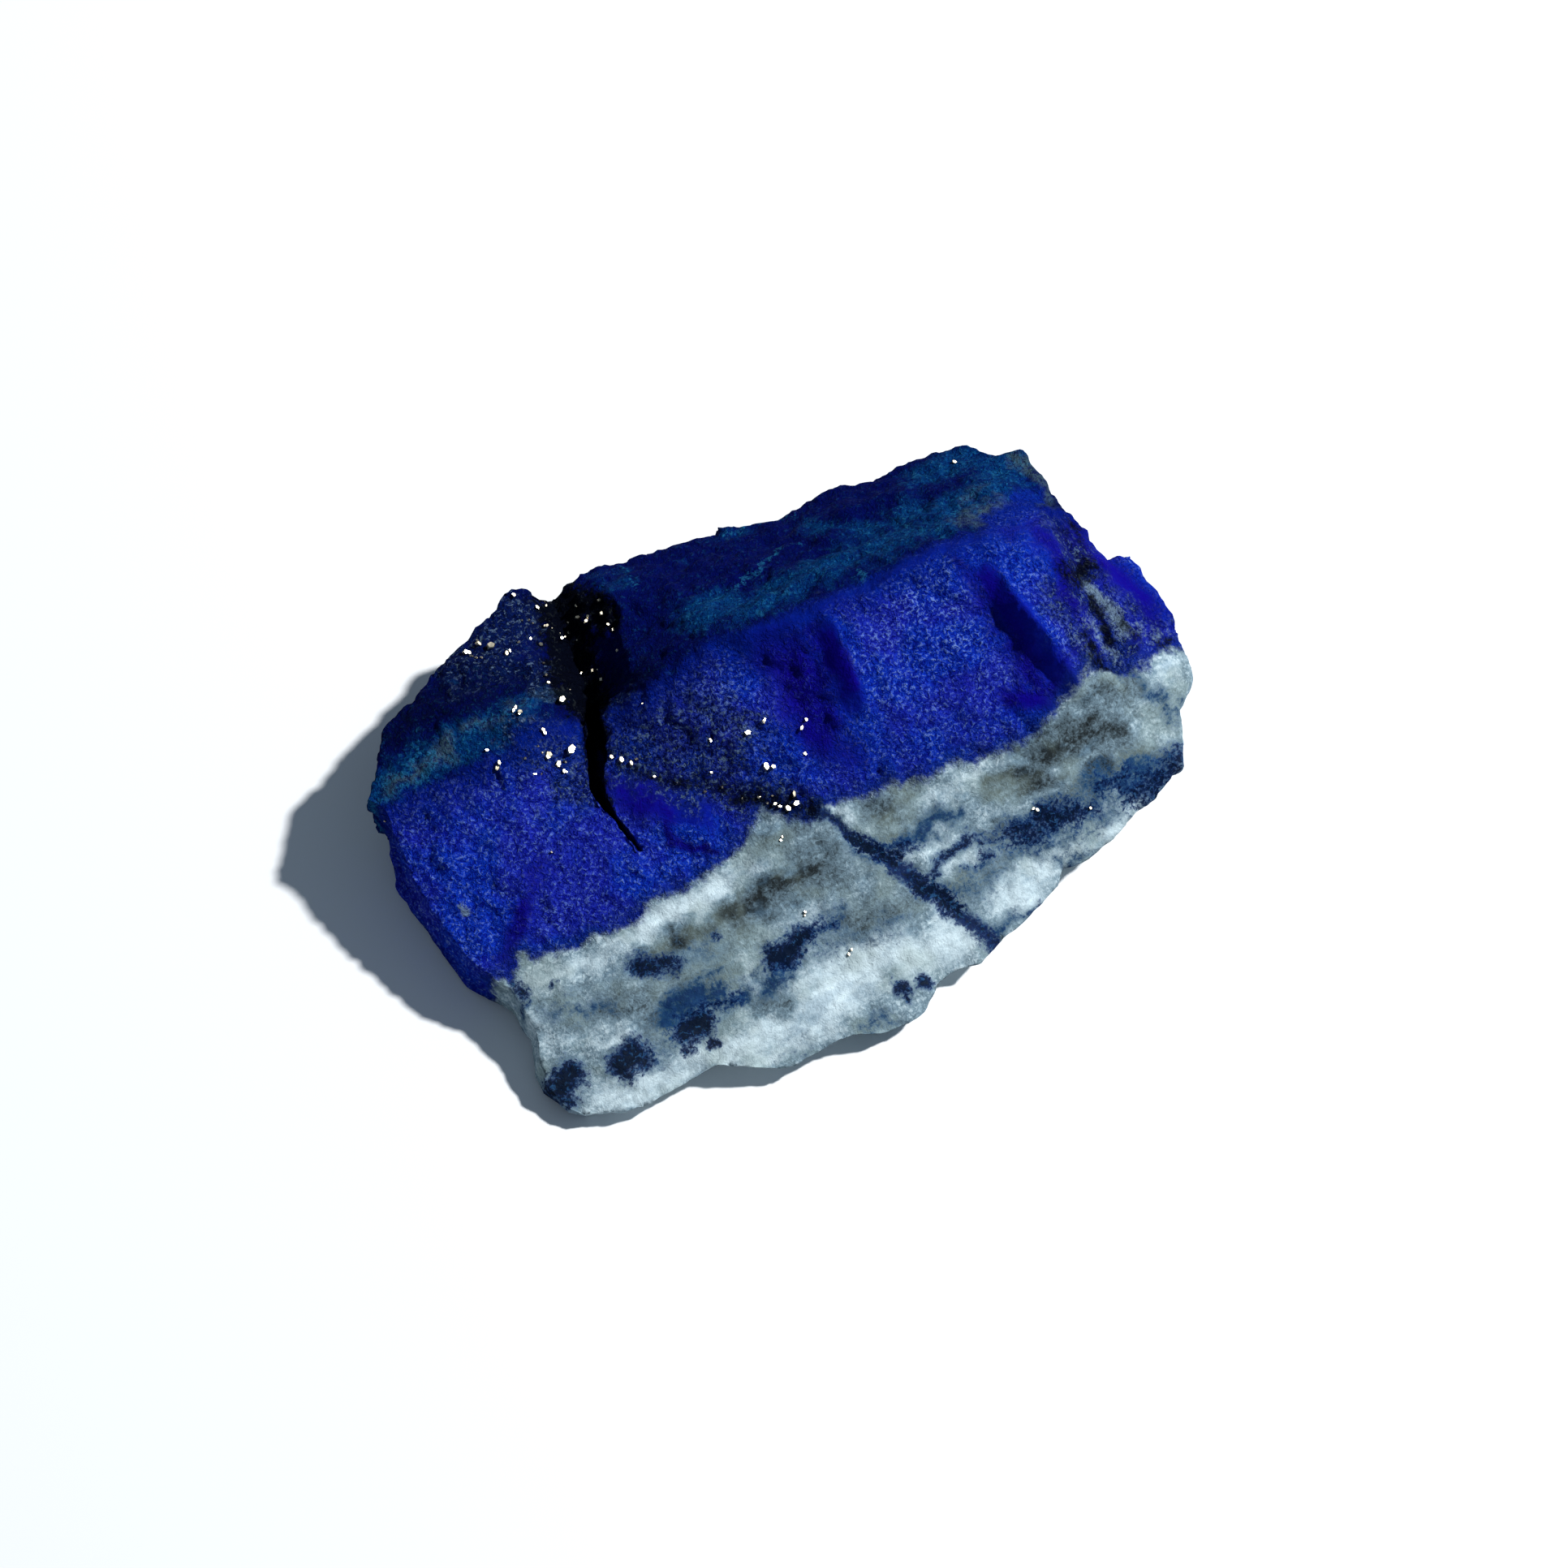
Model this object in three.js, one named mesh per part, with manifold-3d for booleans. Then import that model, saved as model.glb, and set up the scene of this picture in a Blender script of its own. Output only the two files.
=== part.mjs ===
// A rough chunk of lapis lazuli: a broken wedge of blue stone with a pale calcite band along its
// thin front edge. Millimetres, +Z up. The mineral banding runs along X, the old weathered back
// slopes away towards +Y, and the origin is the middle of the face that the stone rests on.

import * as THREE from "three";
import { ImprovedNoise } from "three/addons/math/ImprovedNoise.js";
import { mergeVertices } from "three/addons/utils/BufferGeometryUtils.js";
import Module from "manifold-3d";

// Driving dimensions.
const TOP_STEP = 0.92; // spacing of the vertices on the broken top
const BASE_STEP = 2.1; // spacing of the vertices under the stone
const WALL_ROWS = 6; // rows of vertices between the rim and the foot
const TOP_SEED = 7; // changes how the vertices of the top are scattered
const BASE_SEED = 11; // changes how the vertices of the underside are scattered
const WALL_SPAN = 3; // rim vertices either side that show which way the wall faces
const WALL_BLEND = 4; // rim vertices either side over which neighbouring sides' walls merge
const FOOT_MARGIN = 3.4; // how far in from the foot the underside lies flat
const MERGE_DISTANCE = 1e-4; // vertices nearer than this are one
const CRACK_FLOOR = 3.9; // height of the bottom of the crack
const CRACK_TOP = 14; // height of the top of the cutter that opens the crack
const BACK_EDGE = 5.5; // the weathered back lies behind this y, and the fresh fracture before it
const PALE_EDGE = -5; // the calcite lies before this y
const CREST_LEVEL = 12.5; // the ledges of the back die out towards this height

// The foot of the walls, which stands a little clear of the ground.
const FOOT = {
  least: 0.15, // lowest lift
  most: 1.1, // highest lift
  usual: 0.55, // usual lift, as a share of the highest
  share: 0.45, // highest lift as a share of the rim's height, where the stone is thin
  ease: 1.3, // above 1, the underside lifts late
};

// Unevenness: how wide and how high its largest swells are, and the slice of the noise it reads.
const SWELLS = { size: 7, height: 0.3, slice: 0 }; // of every face
const HACKLE = { size: 2.6, height: 0.26, slice: 9 }; // of the fractures
const LEDGES = { size: 2.2, height: 0.7, slice: 3 }; // of the back
const LEDGE_LENGTH = 0.3; // below 1, the ledges are drawn out along X
const WALL_RELIEF = { size: 4.5, height: 0.9 }; // of the walls
const MARGIN_RELIEF = { size: 6, height: 1.4, slice: 20 }; // of the line where the underside lifts
const FOOT_RELIEF = { size: 7, height: 0.9, slice: 40 }; // of the foot's lift, as a share

// Where the unevenness of the top is weaker.
const CALM_RIM = [0.2, 2.5]; // it grows between these distances from the rim
const PALE_CALM = 0.4; // share of the hackle that the calcite lacks
const BACK_BLEND = 1.5; // half the width of the change from fracture to weathered back
const PALE_BLEND = 1; // half the width of the change from blue rock to calcite
const CREST_BLEND = 1; // half the height over which the ledges of the back die out

// How the walls run between the rim and the foot.
const WALL_CALM = 3; // the relief grows over this depth below the rim
const FOOT_CALM = 0.7; // share of the relief that dies out at the foot
const FOOT_CALM_EASE = 6; // above 1, it dies out late
const SWELL_END = 1.15; // above 1, the swell ends before the foot
const UNDERCUT_EASE = 1.5; // above 1, the wall draws in late
const UPRIGHT_GRAIN = 1.6; // above 1, the relief is finer upwards than along the wall

// Spacing of the filling vertices, as shares of their step.
const LINE_GAP = 0.5; // least distance of a line's vertices from the rim and from each other
const GRID_RIM_GAP = 0.6; // least distance of the grid's vertices from the rim
const GRID_GAP = 0.62; // least distance of the grid's vertices from the others
const JITTER = 0.45; // how far the grid's vertices are shaken
const GRID_REACH = 30; // half the width of the grid, in millimetres

// The rim of the stone, clockwise seen from above, as [x, y, height]. Each side states how far the
// foot of its wall lies inside the rim, and how far the wall swells between the two.
const SIDES = [
  {
    name: "left back",
    undercut: 1.3,
    swell: 0.35,
    rim: [
      [-24.2, 8.1, 7.0], [-23.1, 9.1, 7.1], [-22.3, 10.7, 7.1], [-21.4, 11.9, 7.0],
      [-20.2, 12.6, 7.0], [-19.2, 12.8, 7.1], [-17.0, 14.1, 7.1], [-14.4, 15.2, 7.0],
      [-12.0, 16.2, 7.0], [-11.1, 17.1, 7.0], [-10.5, 17.1, 7.0], [-9.4, 16.5, 6.5],
    ],
  },
  {
    name: "notch",
    undercut: 0.6,
    swell: 0.1,
    rim: [
      [-8.8, 16.2, 5.5], [-8.3, 16.2, 4.9], [-7.9, 16.2, 5.4], [-7.0, 16.2, 6.0],
    ],
  },
  {
    name: "back",
    undercut: 1.6,
    swell: 0.7,
    rim: [
      [-6.2, 16.7, 6.0], [-4.7, 16.7, 5.6], [-2.9, 16.6, 5.1], [-1.5, 16.5, 5.0],
      [0.5, 16.4, 5.0], [2.8, 15.8, 5.0], [3.0, 16.1, 5.1], [4.2, 15.6, 5.0],
      [5.9, 15.1, 5.0], [7.9, 15.0, 5.0], [8.5, 15.3, 5.0], [9.4, 15.4, 5.0],
      [11.3, 15.1, 5.1], [12.6, 14.7, 5.2], [14.4, 14.5, 5.4], [15.8, 14.5, 5.6],
      [17.1, 14.4, 5.8], [18.1, 14.1, 6.0], [19.2, 13.7, 6.0], [20.2, 12.3, 6.5],
      [20.8, 11.8, 6.8], [21.7, 11.5, 7.0],
    ],
  },
  {
    name: "right end",
    undercut: 1.2,
    swell: 0.4,
    rim: [
      [21.9, 11.1, 7.0], [21.8, 9.1, 7.3], [22.1, 8.1, 7.4], [22.0, 6.9, 7.5],
      [22.3, 5.5, 7.5], [22.4, 4.0, 7.5], [22.6, 2.1, 7.4], [23.3, 2.2, 7.2],
      [24.1, 2.0, 7.0], [24.3, 1.1, 7.0], [24.4, -0.7, 6.8], [24.6, -2.6, 6.5],
      [24.2, -4.3, 6.3], [24.0, -6.1, 6.0], [23.2, -7.0, 5.3], [22.5, -7.5, 5.0],
      [22.2, -8.3, 4.6], [21.6, -9.8, 4.0], [21.1, -10.7, 3.7],
    ],
  },
  {
    name: "front",
    undercut: 1.5,
    swell: 0.0,
    rim: [
      [20.3, -10.8, 3.4], [18.7, -11.6, 3.0], [17.1, -11.9, 2.8], [15.3, -12.7, 2.5],
      [14.1, -12.9, 2.5], [13.1, -13.2, 2.4], [11.7, -13.0, 2.4], [10.9, -13.7, 2.1],
      [9.4, -14.3, 2.0], [7.3, -15.0, 2.0], [6.4, -15.2, 2.0], [5.7, -15.5, 1.9],
      [4.5, -15.9, 1.8], [3.0, -15.6, 1.7], [1.7, -15.8, 1.6], [1.1, -16.4, 1.6],
      [0.1, -17.0, 1.5], [-1.2, -17.2, 1.5], [-2.6, -17.2, 1.6], [-4.5, -16.5, 1.9],
      [-5.5, -16.4, 1.8], [-6.6, -16.5, 1.6], [-8.3, -16.5, 1.5], [-9.7, -16.1, 1.6],
      [-11.1, -15.3, 1.9], [-12.4, -14.6, 1.9], [-13.2, -14.5, 1.6], [-14.4, -14.6, 1.4],
      [-15.9, -14.7, 1.3], [-17.4, -14.7, 1.3], [-18.8, -14.2, 1.3],
    ],
  },
  {
    name: "left front",
    undercut: -0.4,
    swell: 0.15,
    rim: [
      [-20.6, -13.6, 1.3], [-21.3, -12.9, 1.4], [-21.5, -12.2, 1.5], [-21.9, -11.0, 1.8],
      [-21.7, -10.5, 2.0], [-21.7, -9.8, 2.2], [-21.4, -9.2, 2.4], [-21.0, -8.0, 2.9],
      [-21.1, -7.3, 3.1], [-21.3, -5.6, 3.6], [-22.1, -4.4, 4.0], [-22.9, -2.7, 4.4],
      [-23.5, 0.3, 5.0], [-23.8, 3.1, 5.7], [-23.5, 7.1, 6.9],
    ],
  },
];

// Lines of the broken top, as [x, y, height]: crests, hollows and ledges.
const LINES = {
  crest: [
    [-9.2, 6.4, 8.6], [-7.2, 5.9, 9.8], [-5.6, 6.0, 10.7], [-4.0, 6.2, 11.3],
    [-2.7, 6.3, 11.8], [-0.4, 5.4, 12.3], [2.2, 4.5, 12.6], [4.2, 4.3, 12.9],
    [6.1, 3.8, 13.0], [8.7, 4.3, 13.3], [10.6, 3.9, 13.5], [12.6, 3.6, 13.5],
    [14.8, 3.7, 13.3], [16.0, 3.1, 13.0], [18.0, 2.1, 12.2],
  ],
  firstHollow: [
    [0.9, 4.0, 11.8], [0.3, 3.0, 10.8], [0.6, 1.4, 10.1], [1.1, -0.4, 9.5], [1.8, -2.3, 8.9],
  ],
  firstRamp: [
    [3.5, 3.4, 12.3], [3.0, 1.9, 11.4], [2.9, 0.3, 10.8], [3.1, -1.2, 10.1], [3.5, -2.8, 9.4],
  ],
  firstStep: [
    [4.5, 3.2, 12.8], [4.3, 1.6, 12.5], [4.1, 0.2, 11.8], [4.1, -1.4, 10.7],
    [4.3, -3.0, 9.3],
  ],
  secondHollow: [
    [13.4, 2.3, 12.6], [13.4, 0.6, 11.6], [13.7, -0.9, 10.9], [14.2, -2.6, 10.2],
    [14.9, -4.2, 9.4], [15.5, -5.5, 8.6],
  ],
  secondStep: [
    [14.8, 2.1, 13.1], [14.8, -0.5, 12.8], [15.3, -1.8, 12.3], [15.7, -3.0, 11.6],
    [16.0, -4.2, 10.7], [16.3, -5.5, 9.1],
  ],
  lobeRidge: [
    [-23.4, 7.9, 7.1], [-19.8, 6.9, 8.0], [-16.9, 6.7, 8.6], [-14.7, 7.0, 9.0],
    [-13.6, 7.3, 9.0], [-12.2, 6.6, 8.3],
  ],
  lobeShoulder: [
    [-22.4, 9.6, 7.3], [-20.7, 9.4, 7.9], [-18.3, 9.5, 8.4], [-16.5, 9.8, 8.7],
    [-15.4, 9.8, 8.8], [-13.6, 9.4, 8.6],
  ],
  pitFloor: [
    [-8.4, 15.4, 4.9], [-8.5, 13.9, 5.1], [-8.9, 11.1, 5.4], [-9.3, 8.7, 5.8],
    [-9.8, 7.2, 6.5],
  ],
  leftBank: [
    [-10.4, 14.8, 6.9], [-11.2, 13.0, 7.5], [-11.0, 10.7, 7.8], [-10.7, 9.1, 7.8],
    [-10.7, 6.9, 7.7], [-11.0, 5.6, 7.6], [-11.5, 4.4, 7.4], [-12.1, 3.2, 7.2],
    [-12.4, 2.1, 7.0], [-12.2, 0.9, 6.8],
  ],
  rightBank: [
    [-7.0, 15.2, 6.2], [-7.1, 12.8, 6.4], [-7.7, 9.9, 6.8], [-8.6, 7.6, 7.4],
    [-9.3, 5.2, 8.3], [-10.2, 3.6, 7.9], [-11.3, 1.6, 7.0],
  ],
  pitShoulder: [[-5.4, 14.2, 7.0], [-5.6, 12.0, 8.2], [-6.6, 9.2, 8.9]],
  lumpFoot: [
    [-8.7, 1.5, 7.6], [-6.9, -0.1, 7.4], [-4.7, -1.7, 7.3], [-2.5, -3.2, 7.3],
    [-0.7, -4.8, 7.0],
  ],
  flakeEdge: [[-10.0, -0.5, 6.8], [-9.4, -1.7, 6.6], [-8.5, -2.9, 6.3], [-7.3, -3.7, 6.2]],
  flakeFoot: [[-10.3, -0.9, 6.4], [-9.8, -2.0, 6.1], [-8.8, -3.3, 5.8], [-7.6, -4.1, 5.8]],
  rightLedgeTop: [
    [19.4, 4.6, 10.9], [19.0, 2.6, 11.6], [18.8, 1.0, 11.6], [18.5, -0.9, 11.1],
    [18.3, -3.2, 10.1], [17.9, -5.0, 9.0],
  ],
  rightLedgeFoot: [
    [20.5, 4.2, 9.2], [20.2, 2.4, 8.9], [20.0, 1.0, 8.9], [19.6, -0.8, 9.4],
    [19.3, -2.6, 9.2], [19.0, -4.2, 8.8],
  ],
  endLobe: [
    [21.8, 1.9, 8.5], [21.3, 0.5, 9.2], [21.3, -1.1, 9.2], [21.1, -3.2, 8.8],
    [20.7, -4.9, 8.2],
  ],
  endLobeFoot: [[22.4, 0.6, 8.2], [22.6, -1.1, 8.0], [22.4, -3.3, 7.7], [21.8, -5.4, 7.2]],
};

// Single points of the broken top that belong to no line.
const POINTS = [
  // the scoop between the two steps
  [7.3, 2.4, 12.3], [10.4, 2.1, 12.2], [7.4, -0.5, 11.1], [10.3, -0.7, 10.9],
  [7.7, -3.2, 9.3], [10.5, -4.0, 9.1], [12.6, -4.3, 8.9],
  // the lump between the crack and the first hollow
  [-6.6, 3.7, 9.3], [-3.2, 4.2, 10.9], [-3.2, 1.5, 9.9],
  [-1.1, -0.3, 9.4], [-5.5, 1.0, 8.7], [-2.6, -1.1, 8.6], [0.6, -2.6, 8.4],
  // the blue face of the lobe, and below the lump
  [-20.7, 3.3, 6.6], [-16.1, 2.9, 7.3], [-15.5, -1.3, 5.8], [-19.9, -1.6, 4.9],
  [-8.1, -1.2, 6.9], [-12.7, -2.2, 5.9], [-5.9, -3.6, 6.3],
  // the weathered back
  [-1.5, 10.7, 9.1], [-6.3, 11.6, 8.3], [3.2, 10.2, 9.2], [8.8, 9.4, 9.4],
  [14.2, 9.1, 9.6], [18.4, 8.5, 9.4], [3.2, 6.4, 11.9], [9.6, 6.2, 12.1],
  [14.8, 5.8, 12.0], [-3.4, 14.2, 6.9], [2.7, 13.4, 6.9], [9.1, 12.7, 7.0],
  [14.3, 12.1, 7.3], [18.3, 11.1, 7.9], [21.3, 6.0, 8.6],
  // the back of the lobe
  [-19.5, 11.4, 7.6], [-16.1, 12.9, 7.8], [-13.0, 13.6, 7.7], [-13.2, 11.6, 8.3],
  // the calcite slope
  [-16.6, -9.9, 3.0], [-10.0, -11.5, 3.0], [-4.7, -11.6, 3.5], [0.3, -12.4, 3.6],
  [5.7, -10.4, 4.6], [12.5, -9.9, 5.0], [18.3, -9.4, 5.2], [18.2, -7.2, 7.0],
  [-12.4, -7.9, 4.2], [-4.8, -7.6, 5.0], [-17.2, -4.7, 4.4], [3.9, -5.3, 7.0],
  [9.2, -5.5, 7.4], [21.9, -6.8, 6.2],
];

// The crack, seen from above: down its left lip and back up its right lip.
const CRACK = [
  [-9.6, 8.4], [-10.4, 6.8], [-11.0, 5.5], [-11.5, 4.3], [-12.0, 3.3], [-12.1, 2.4],
  [-11.9, 1.3], [-11.5, 0.0], [-11.0, -1.9], [-11.3, -0.1], [-11.5, 1.1], [-11.4, 2.2],
  [-11.1, 3.0], [-10.4, 4.0], [-10.0, 5.0], [-9.7, 6.4], [-9.0, 8.0],
];

// The steep faces of the two steps, seen from above, which broke clean without any hackle.
const CLEAN_FACES = [
  [[3.4, 3.4], [2.9, 1.0], [3.2, -2.0], [4.2, -2.4], [4.1, 0.2], [4.5, 3.2]],
  [[13.4, 2.4], [13.6, -0.9], [15.4, -5.5], [16.3, -5.5], [15.3, -1.8], [14.8, 2.2]],
];
const CLEAN_MARGIN = 0.8; // how far round a clean face the hackle fades

const noise = new ImprovedNoise();

// Noise of several sizes, the largest of them `size` across, between about -1 and 1.
function fractal(x, y, z, size, octaves) {
  let sum = 0;
  for (let k = 0; k < octaves; k++) {
    const f = 2 ** k / size;
    sum += noise.noise(x * f, y * f, z * f) / 2 ** k;
  }
  return sum;
}

// A repeatable series of numbers between 0 and 1.
function series(seed) {
  let state = seed;
  return () => {
    state = (state * 1664525 + 1013904223) % 4294967296;
    return state / 4294967296;
  };
}

function smoothstep(low, high, value) {
  const t = Math.min(1, Math.max(0, (value - low) / (high - low)));
  return t * t * (3 - 2 * t);
}

function insidePolygon(x, y, polygon) {
  let inside = false;
  polygon.forEach(([ax, ay], i) => {
    const [bx, by] = polygon[(i + 1) % polygon.length];
    if (ay > y !== by > y && x < ((bx - ax) * (y - ay)) / (by - ay) + ax) inside = !inside;
  });
  return inside;
}

function distanceToPolygon(x, y, polygon) {
  let nearest = Infinity;
  polygon.forEach(([ax, ay], i) => {
    const [bx, by] = polygon[(i + 1) % polygon.length];
    const [dx, dy] = [bx - ax, by - ay];
    const along = ((x - ax) * dx + (y - ay) * dy) / (dx * dx + dy * dy);
    const t = Math.min(1, Math.max(0, along));
    nearest = Math.min(nearest, Math.hypot(x - ax - t * dx, y - ay - t * dy));
  });
  return nearest;
}

// How far outside a polygon a place lies: 0 within it.
function outside(x, y, polygon) {
  return insidePolygon(x, y, polygon) ? 0 : distanceToPolygon(x, y, polygon);
}

// The height of one kind of unevenness at a place.
function unevenness(kind, x, y) {
  return kind.height * fractal(x, y, kind.slice, kind.size, 2);
}

// Twice the area of a plan triangle, positive when it runs anticlockwise.
function cross(a, b, c) {
  return (b[0] - a[0]) * (c[1] - a[1]) - (b[1] - a[1]) * (c[0] - a[0]);
}

function circumcircle(a, b, c) {
  const d = 2 * cross(a, b, c);
  const [bx, by] = [b[0] - a[0], b[1] - a[1]];
  const [cx, cy] = [c[0] - a[0], c[1] - a[1]];
  const x = (cy * (bx * bx + by * by) - by * (cx * cx + cy * cy)) / d;
  const y = (bx * (cx * cx + cy * cy) - cx * (bx * bx + by * by)) / d;
  return { x: a[0] + x, y: a[1] + y, r2: x * x + y * y };
}

// Delaunay triangles of plan points, anticlockwise, by adding one point at a time.
function triangulate(points) {
  const far = 1000;
  const all = [...points, [-far, -far], [far, -far], [0, far]];
  const made = (a, b, c) => ({ v: [a, b, c], circle: circumcircle(all[a], all[b], all[c]) });
  const n = points.length;
  let triangles = [made(n, n + 1, n + 2)];
  points.forEach(([x, y], i) => {
    const holds = ({ circle }) => (x - circle.x) ** 2 + (y - circle.y) ** 2 < circle.r2;
    const edges = new Map();
    for (const { v } of triangles.filter(holds)) {
      v.forEach((a, k) => {
        const b = v[(k + 1) % 3];
        if (!edges.delete(`${b},${a}`)) edges.set(`${a},${b}`, [a, b]);
      });
    }
    triangles = triangles.filter((t) => !holds(t));
    for (const [a, b] of edges.values()) triangles.push(made(a, b, i));
  });
  return triangles.map(({ v }) => v).filter((v) => v.every((k) => k < n));
}

// Points along an open or closed line, about `step` apart, through each of its corners.
function resample(line, step, closed) {
  const out = [];
  const last = closed ? line.length : line.length - 1;
  for (let i = 0; i < last; i++) {
    const a = line[i];
    const b = line[(i + 1) % line.length];
    const parts = Math.max(1, Math.round(Math.hypot(b[0] - a[0], b[1] - a[1]) / step));
    for (let k = 0; k < parts; k++) out.push(a.map((v, axis) => v + ((b[axis] - v) * k) / parts));
  }
  if (!closed) out.push(line[line.length - 1]);
  return out;
}

// The large facets: flat triangles between all the stated points of the top.
const outline = SIDES.flatMap(({ rim }) => rim);
const stated = [...outline, ...Object.values(LINES).flat(), ...POINTS];
const facets = triangulate(stated).map((v) => v.map((k) => stated[k]));

function facetHeight(x, y) {
  for (const [a, b, c] of facets) {
    const area = cross(a, b, c);
    const [u, v, w] = [cross([x, y], b, c), cross(a, [x, y], c), cross(a, b, [x, y])];
    if (Math.min(u, v, w) >= -1e-9 * area) return (a[2] * u + b[2] * v + c[2] * w) / area;
  }
  const away = (p) => Math.hypot(p[0] - x, p[1] - y);
  return stated.reduce((best, p) => (away(p) < away(best) ? p : best))[2];
}

// Height of the broken top, with the hackle of the fracture on its facets. The hackle dies out
// at the rim, whose heights are as stated.
function topHeight(x, y) {
  const facet = facetHeight(x, y);
  const inRim = smoothstep(...CALM_RIM, distanceToPolygon(x, y, outline));
  const behind = smoothstep(BACK_EDGE - BACK_BLEND, BACK_EDGE + BACK_BLEND, y);
  const back = behind * smoothstep(CREST_LEVEL + CREST_BLEND, CREST_LEVEL - CREST_BLEND, facet);
  const pale = smoothstep(PALE_EDGE + PALE_BLEND, PALE_EDGE - PALE_BLEND, y);
  const clean = CLEAN_FACES.map((face) => smoothstep(CLEAN_MARGIN, 0, outside(x, y, face)));
  const hackle = unevenness(HACKLE, x, y) * (1 - PALE_CALM * pale) * (1 - Math.max(...clean));
  const ledges = back * unevenness(LEDGES, LEDGE_LENGTH * x, y);
  return facet + inRim * (unevenness(SWELLS, x, y) + hackle + ledges);
}

// Height of the underside, which is flat in the middle and lifts a little towards its foot.
function baseHeight(x, y, foot) {
  const inside = distanceToPolygon(x, y, foot) + unevenness(MARGIN_RELIEF, x, y);
  return FOOT.most * smoothstep(FOOT_MARGIN, 0, inside) ** FOOT.ease;
}

// Height of the foot below a rim vertex.
function footHeight([x, y, height]) {
  const lift = FOOT.most * (FOOT.usual + unevenness(FOOT_RELIEF, x, y));
  return Math.min(FOOT.most, FOOT.share * height, Math.max(FOOT.least, lift));
}

// A vertex of the wall below a rim vertex: t is 0 at the rim and 1 at the foot.
function wallPoint(rim, out, side, t) {
  const [x, y, height] = rim;
  const z = height + (footHeight(rim) - height) * t;
  const deep = smoothstep(0, WALL_CALM, height - z) * (1 - FOOT_CALM * t ** FOOT_CALM_EASE);
  const [wx, wy, wz] = [x + out[0], y + out[1], UPRIGHT_GRAIN * z];
  const relief = WALL_RELIEF.height * fractal(wx, wy, wz, WALL_RELIEF.size, 3);
  const bulge = side.swell * Math.sin(Math.PI * Math.min(1, SWELL_END * t));
  const away = bulge - side.undercut * t ** UNDERCUT_EASE + relief * deep;
  return [x + out[0] * away, y + out[1] * away, z];
}

// The rim at full detail, with each vertex's outward direction and its side's wall.
function detailedRim() {
  const ring = SIDES.flatMap((side, k) => {
    const next = SIDES[(k + 1) % SIDES.length].rim[0];
    const points = resample([...side.rim, next], TOP_STEP, false).slice(0, -1);
    return points.map((point) => ({ point, side }));
  });
  const n = ring.length;
  return ring.map(({ point }, i) => {
    const near = (key) => {
      let sum = 0;
      for (let k = -WALL_BLEND; k <= WALL_BLEND; k++) sum += ring[(i + k + n) % n].side[key];
      return sum / (2 * WALL_BLEND + 1);
    };
    const before = ring[(i + n - WALL_SPAN) % n].point;
    const after = ring[(i + WALL_SPAN) % n].point;
    const length = Math.hypot(after[0] - before[0], after[1] - before[1]);
    const out = [(before[1] - after[1]) / length, (after[0] - before[0]) / length];
    return { point, out, side: { undercut: near("undercut"), swell: near("swell") } };
  });
}

// Vertices inside an outline: those of the given lines first, then a jittered hexagonal grid.
function fill(ring, lines, step, seed) {
  const random = series(seed);
  const kept = [];
  const clear = (x, y, gap) => kept.every(([px, py]) => Math.hypot(px - x, py - y) > gap);
  const add = (x, y, fromRing, gap) => {
    const fits = insidePolygon(x, y, ring) && distanceToPolygon(x, y, ring) > fromRing;
    if (fits && clear(x, y, gap)) kept.push([x, y]);
  };
  for (const line of lines) {
    for (const [x, y] of resample(line, step, false)) add(x, y, LINE_GAP * step, LINE_GAP * step);
  }
  const rowStep = step * Math.sqrt(0.75);
  for (let row = 0, y = -GRID_REACH; y < GRID_REACH; row++, y += rowStep) {
    for (let x = -GRID_REACH + (row % 2) * 0.5 * step; x < GRID_REACH; x += step) {
      const [dx, dy] = [random() - 0.5, random() - 0.5].map((v) => JITTER * step * v);
      add(x + dx, y + dy, GRID_RIM_GAP * step, GRID_GAP * step);
    }
  }
  return kept;
}

// Triangles of plan points, leaving out those that lie outside the ring of the first n points.
function coverRing(points, n) {
  const ring = points.slice(0, n);
  return triangulate(points).filter((v) => {
    const [a, b, c] = v.map((k) => points[k]);
    const middle = [0, 1].map((axis) => (a[axis] + b[axis] + c[axis]) / 3);
    return insidePolygon(...middle, ring);
  });
}

// The broken top, inside the rim, whose vertices come first.
function addTop({ vertices, triangles }, n) {
  const inner = fill(outline, Object.values(LINES), TOP_STEP, TOP_SEED);
  triangles.push(...coverRing([...vertices, ...inner], n));
  for (const [x, y] of inner) vertices.push([x, y, topHeight(x, y)]);
}

// The wall, row by row from the rim down to the foot. Gives the index of the foot's first vertex.
function addWall({ vertices, triangles }, rim) {
  const n = rim.length;
  let above = 0;
  for (let row = 1; row <= WALL_ROWS; row++) {
    const start = vertices.length;
    for (const { point, out, side } of rim) {
      vertices.push(wallPoint(point, out, side, row / WALL_ROWS));
    }
    for (let i = 0; i < n; i++) {
      const j = (i + 1) % n;
      triangles.push([above + i, above + j, start + i], [above + j, start + j, start + i]);
    }
    above = start;
  }
  return above;
}

// The underside, inside the foot.
function addUnderside({ vertices, triangles }, foot) {
  const ring = vertices.slice(foot);
  const n = ring.length;
  const inner = fill(ring, [], BASE_STEP, BASE_SEED);
  const start = vertices.length;
  const index = (k) => (k < n ? foot + k : start + k - n);
  for (const [a, b, c] of coverRing([...ring, ...inner], n)) {
    triangles.push([index(a), index(c), index(b)]);
  }
  for (const [x, y] of inner) vertices.push([x, y, baseHeight(x, y, ring)]);
}

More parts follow.
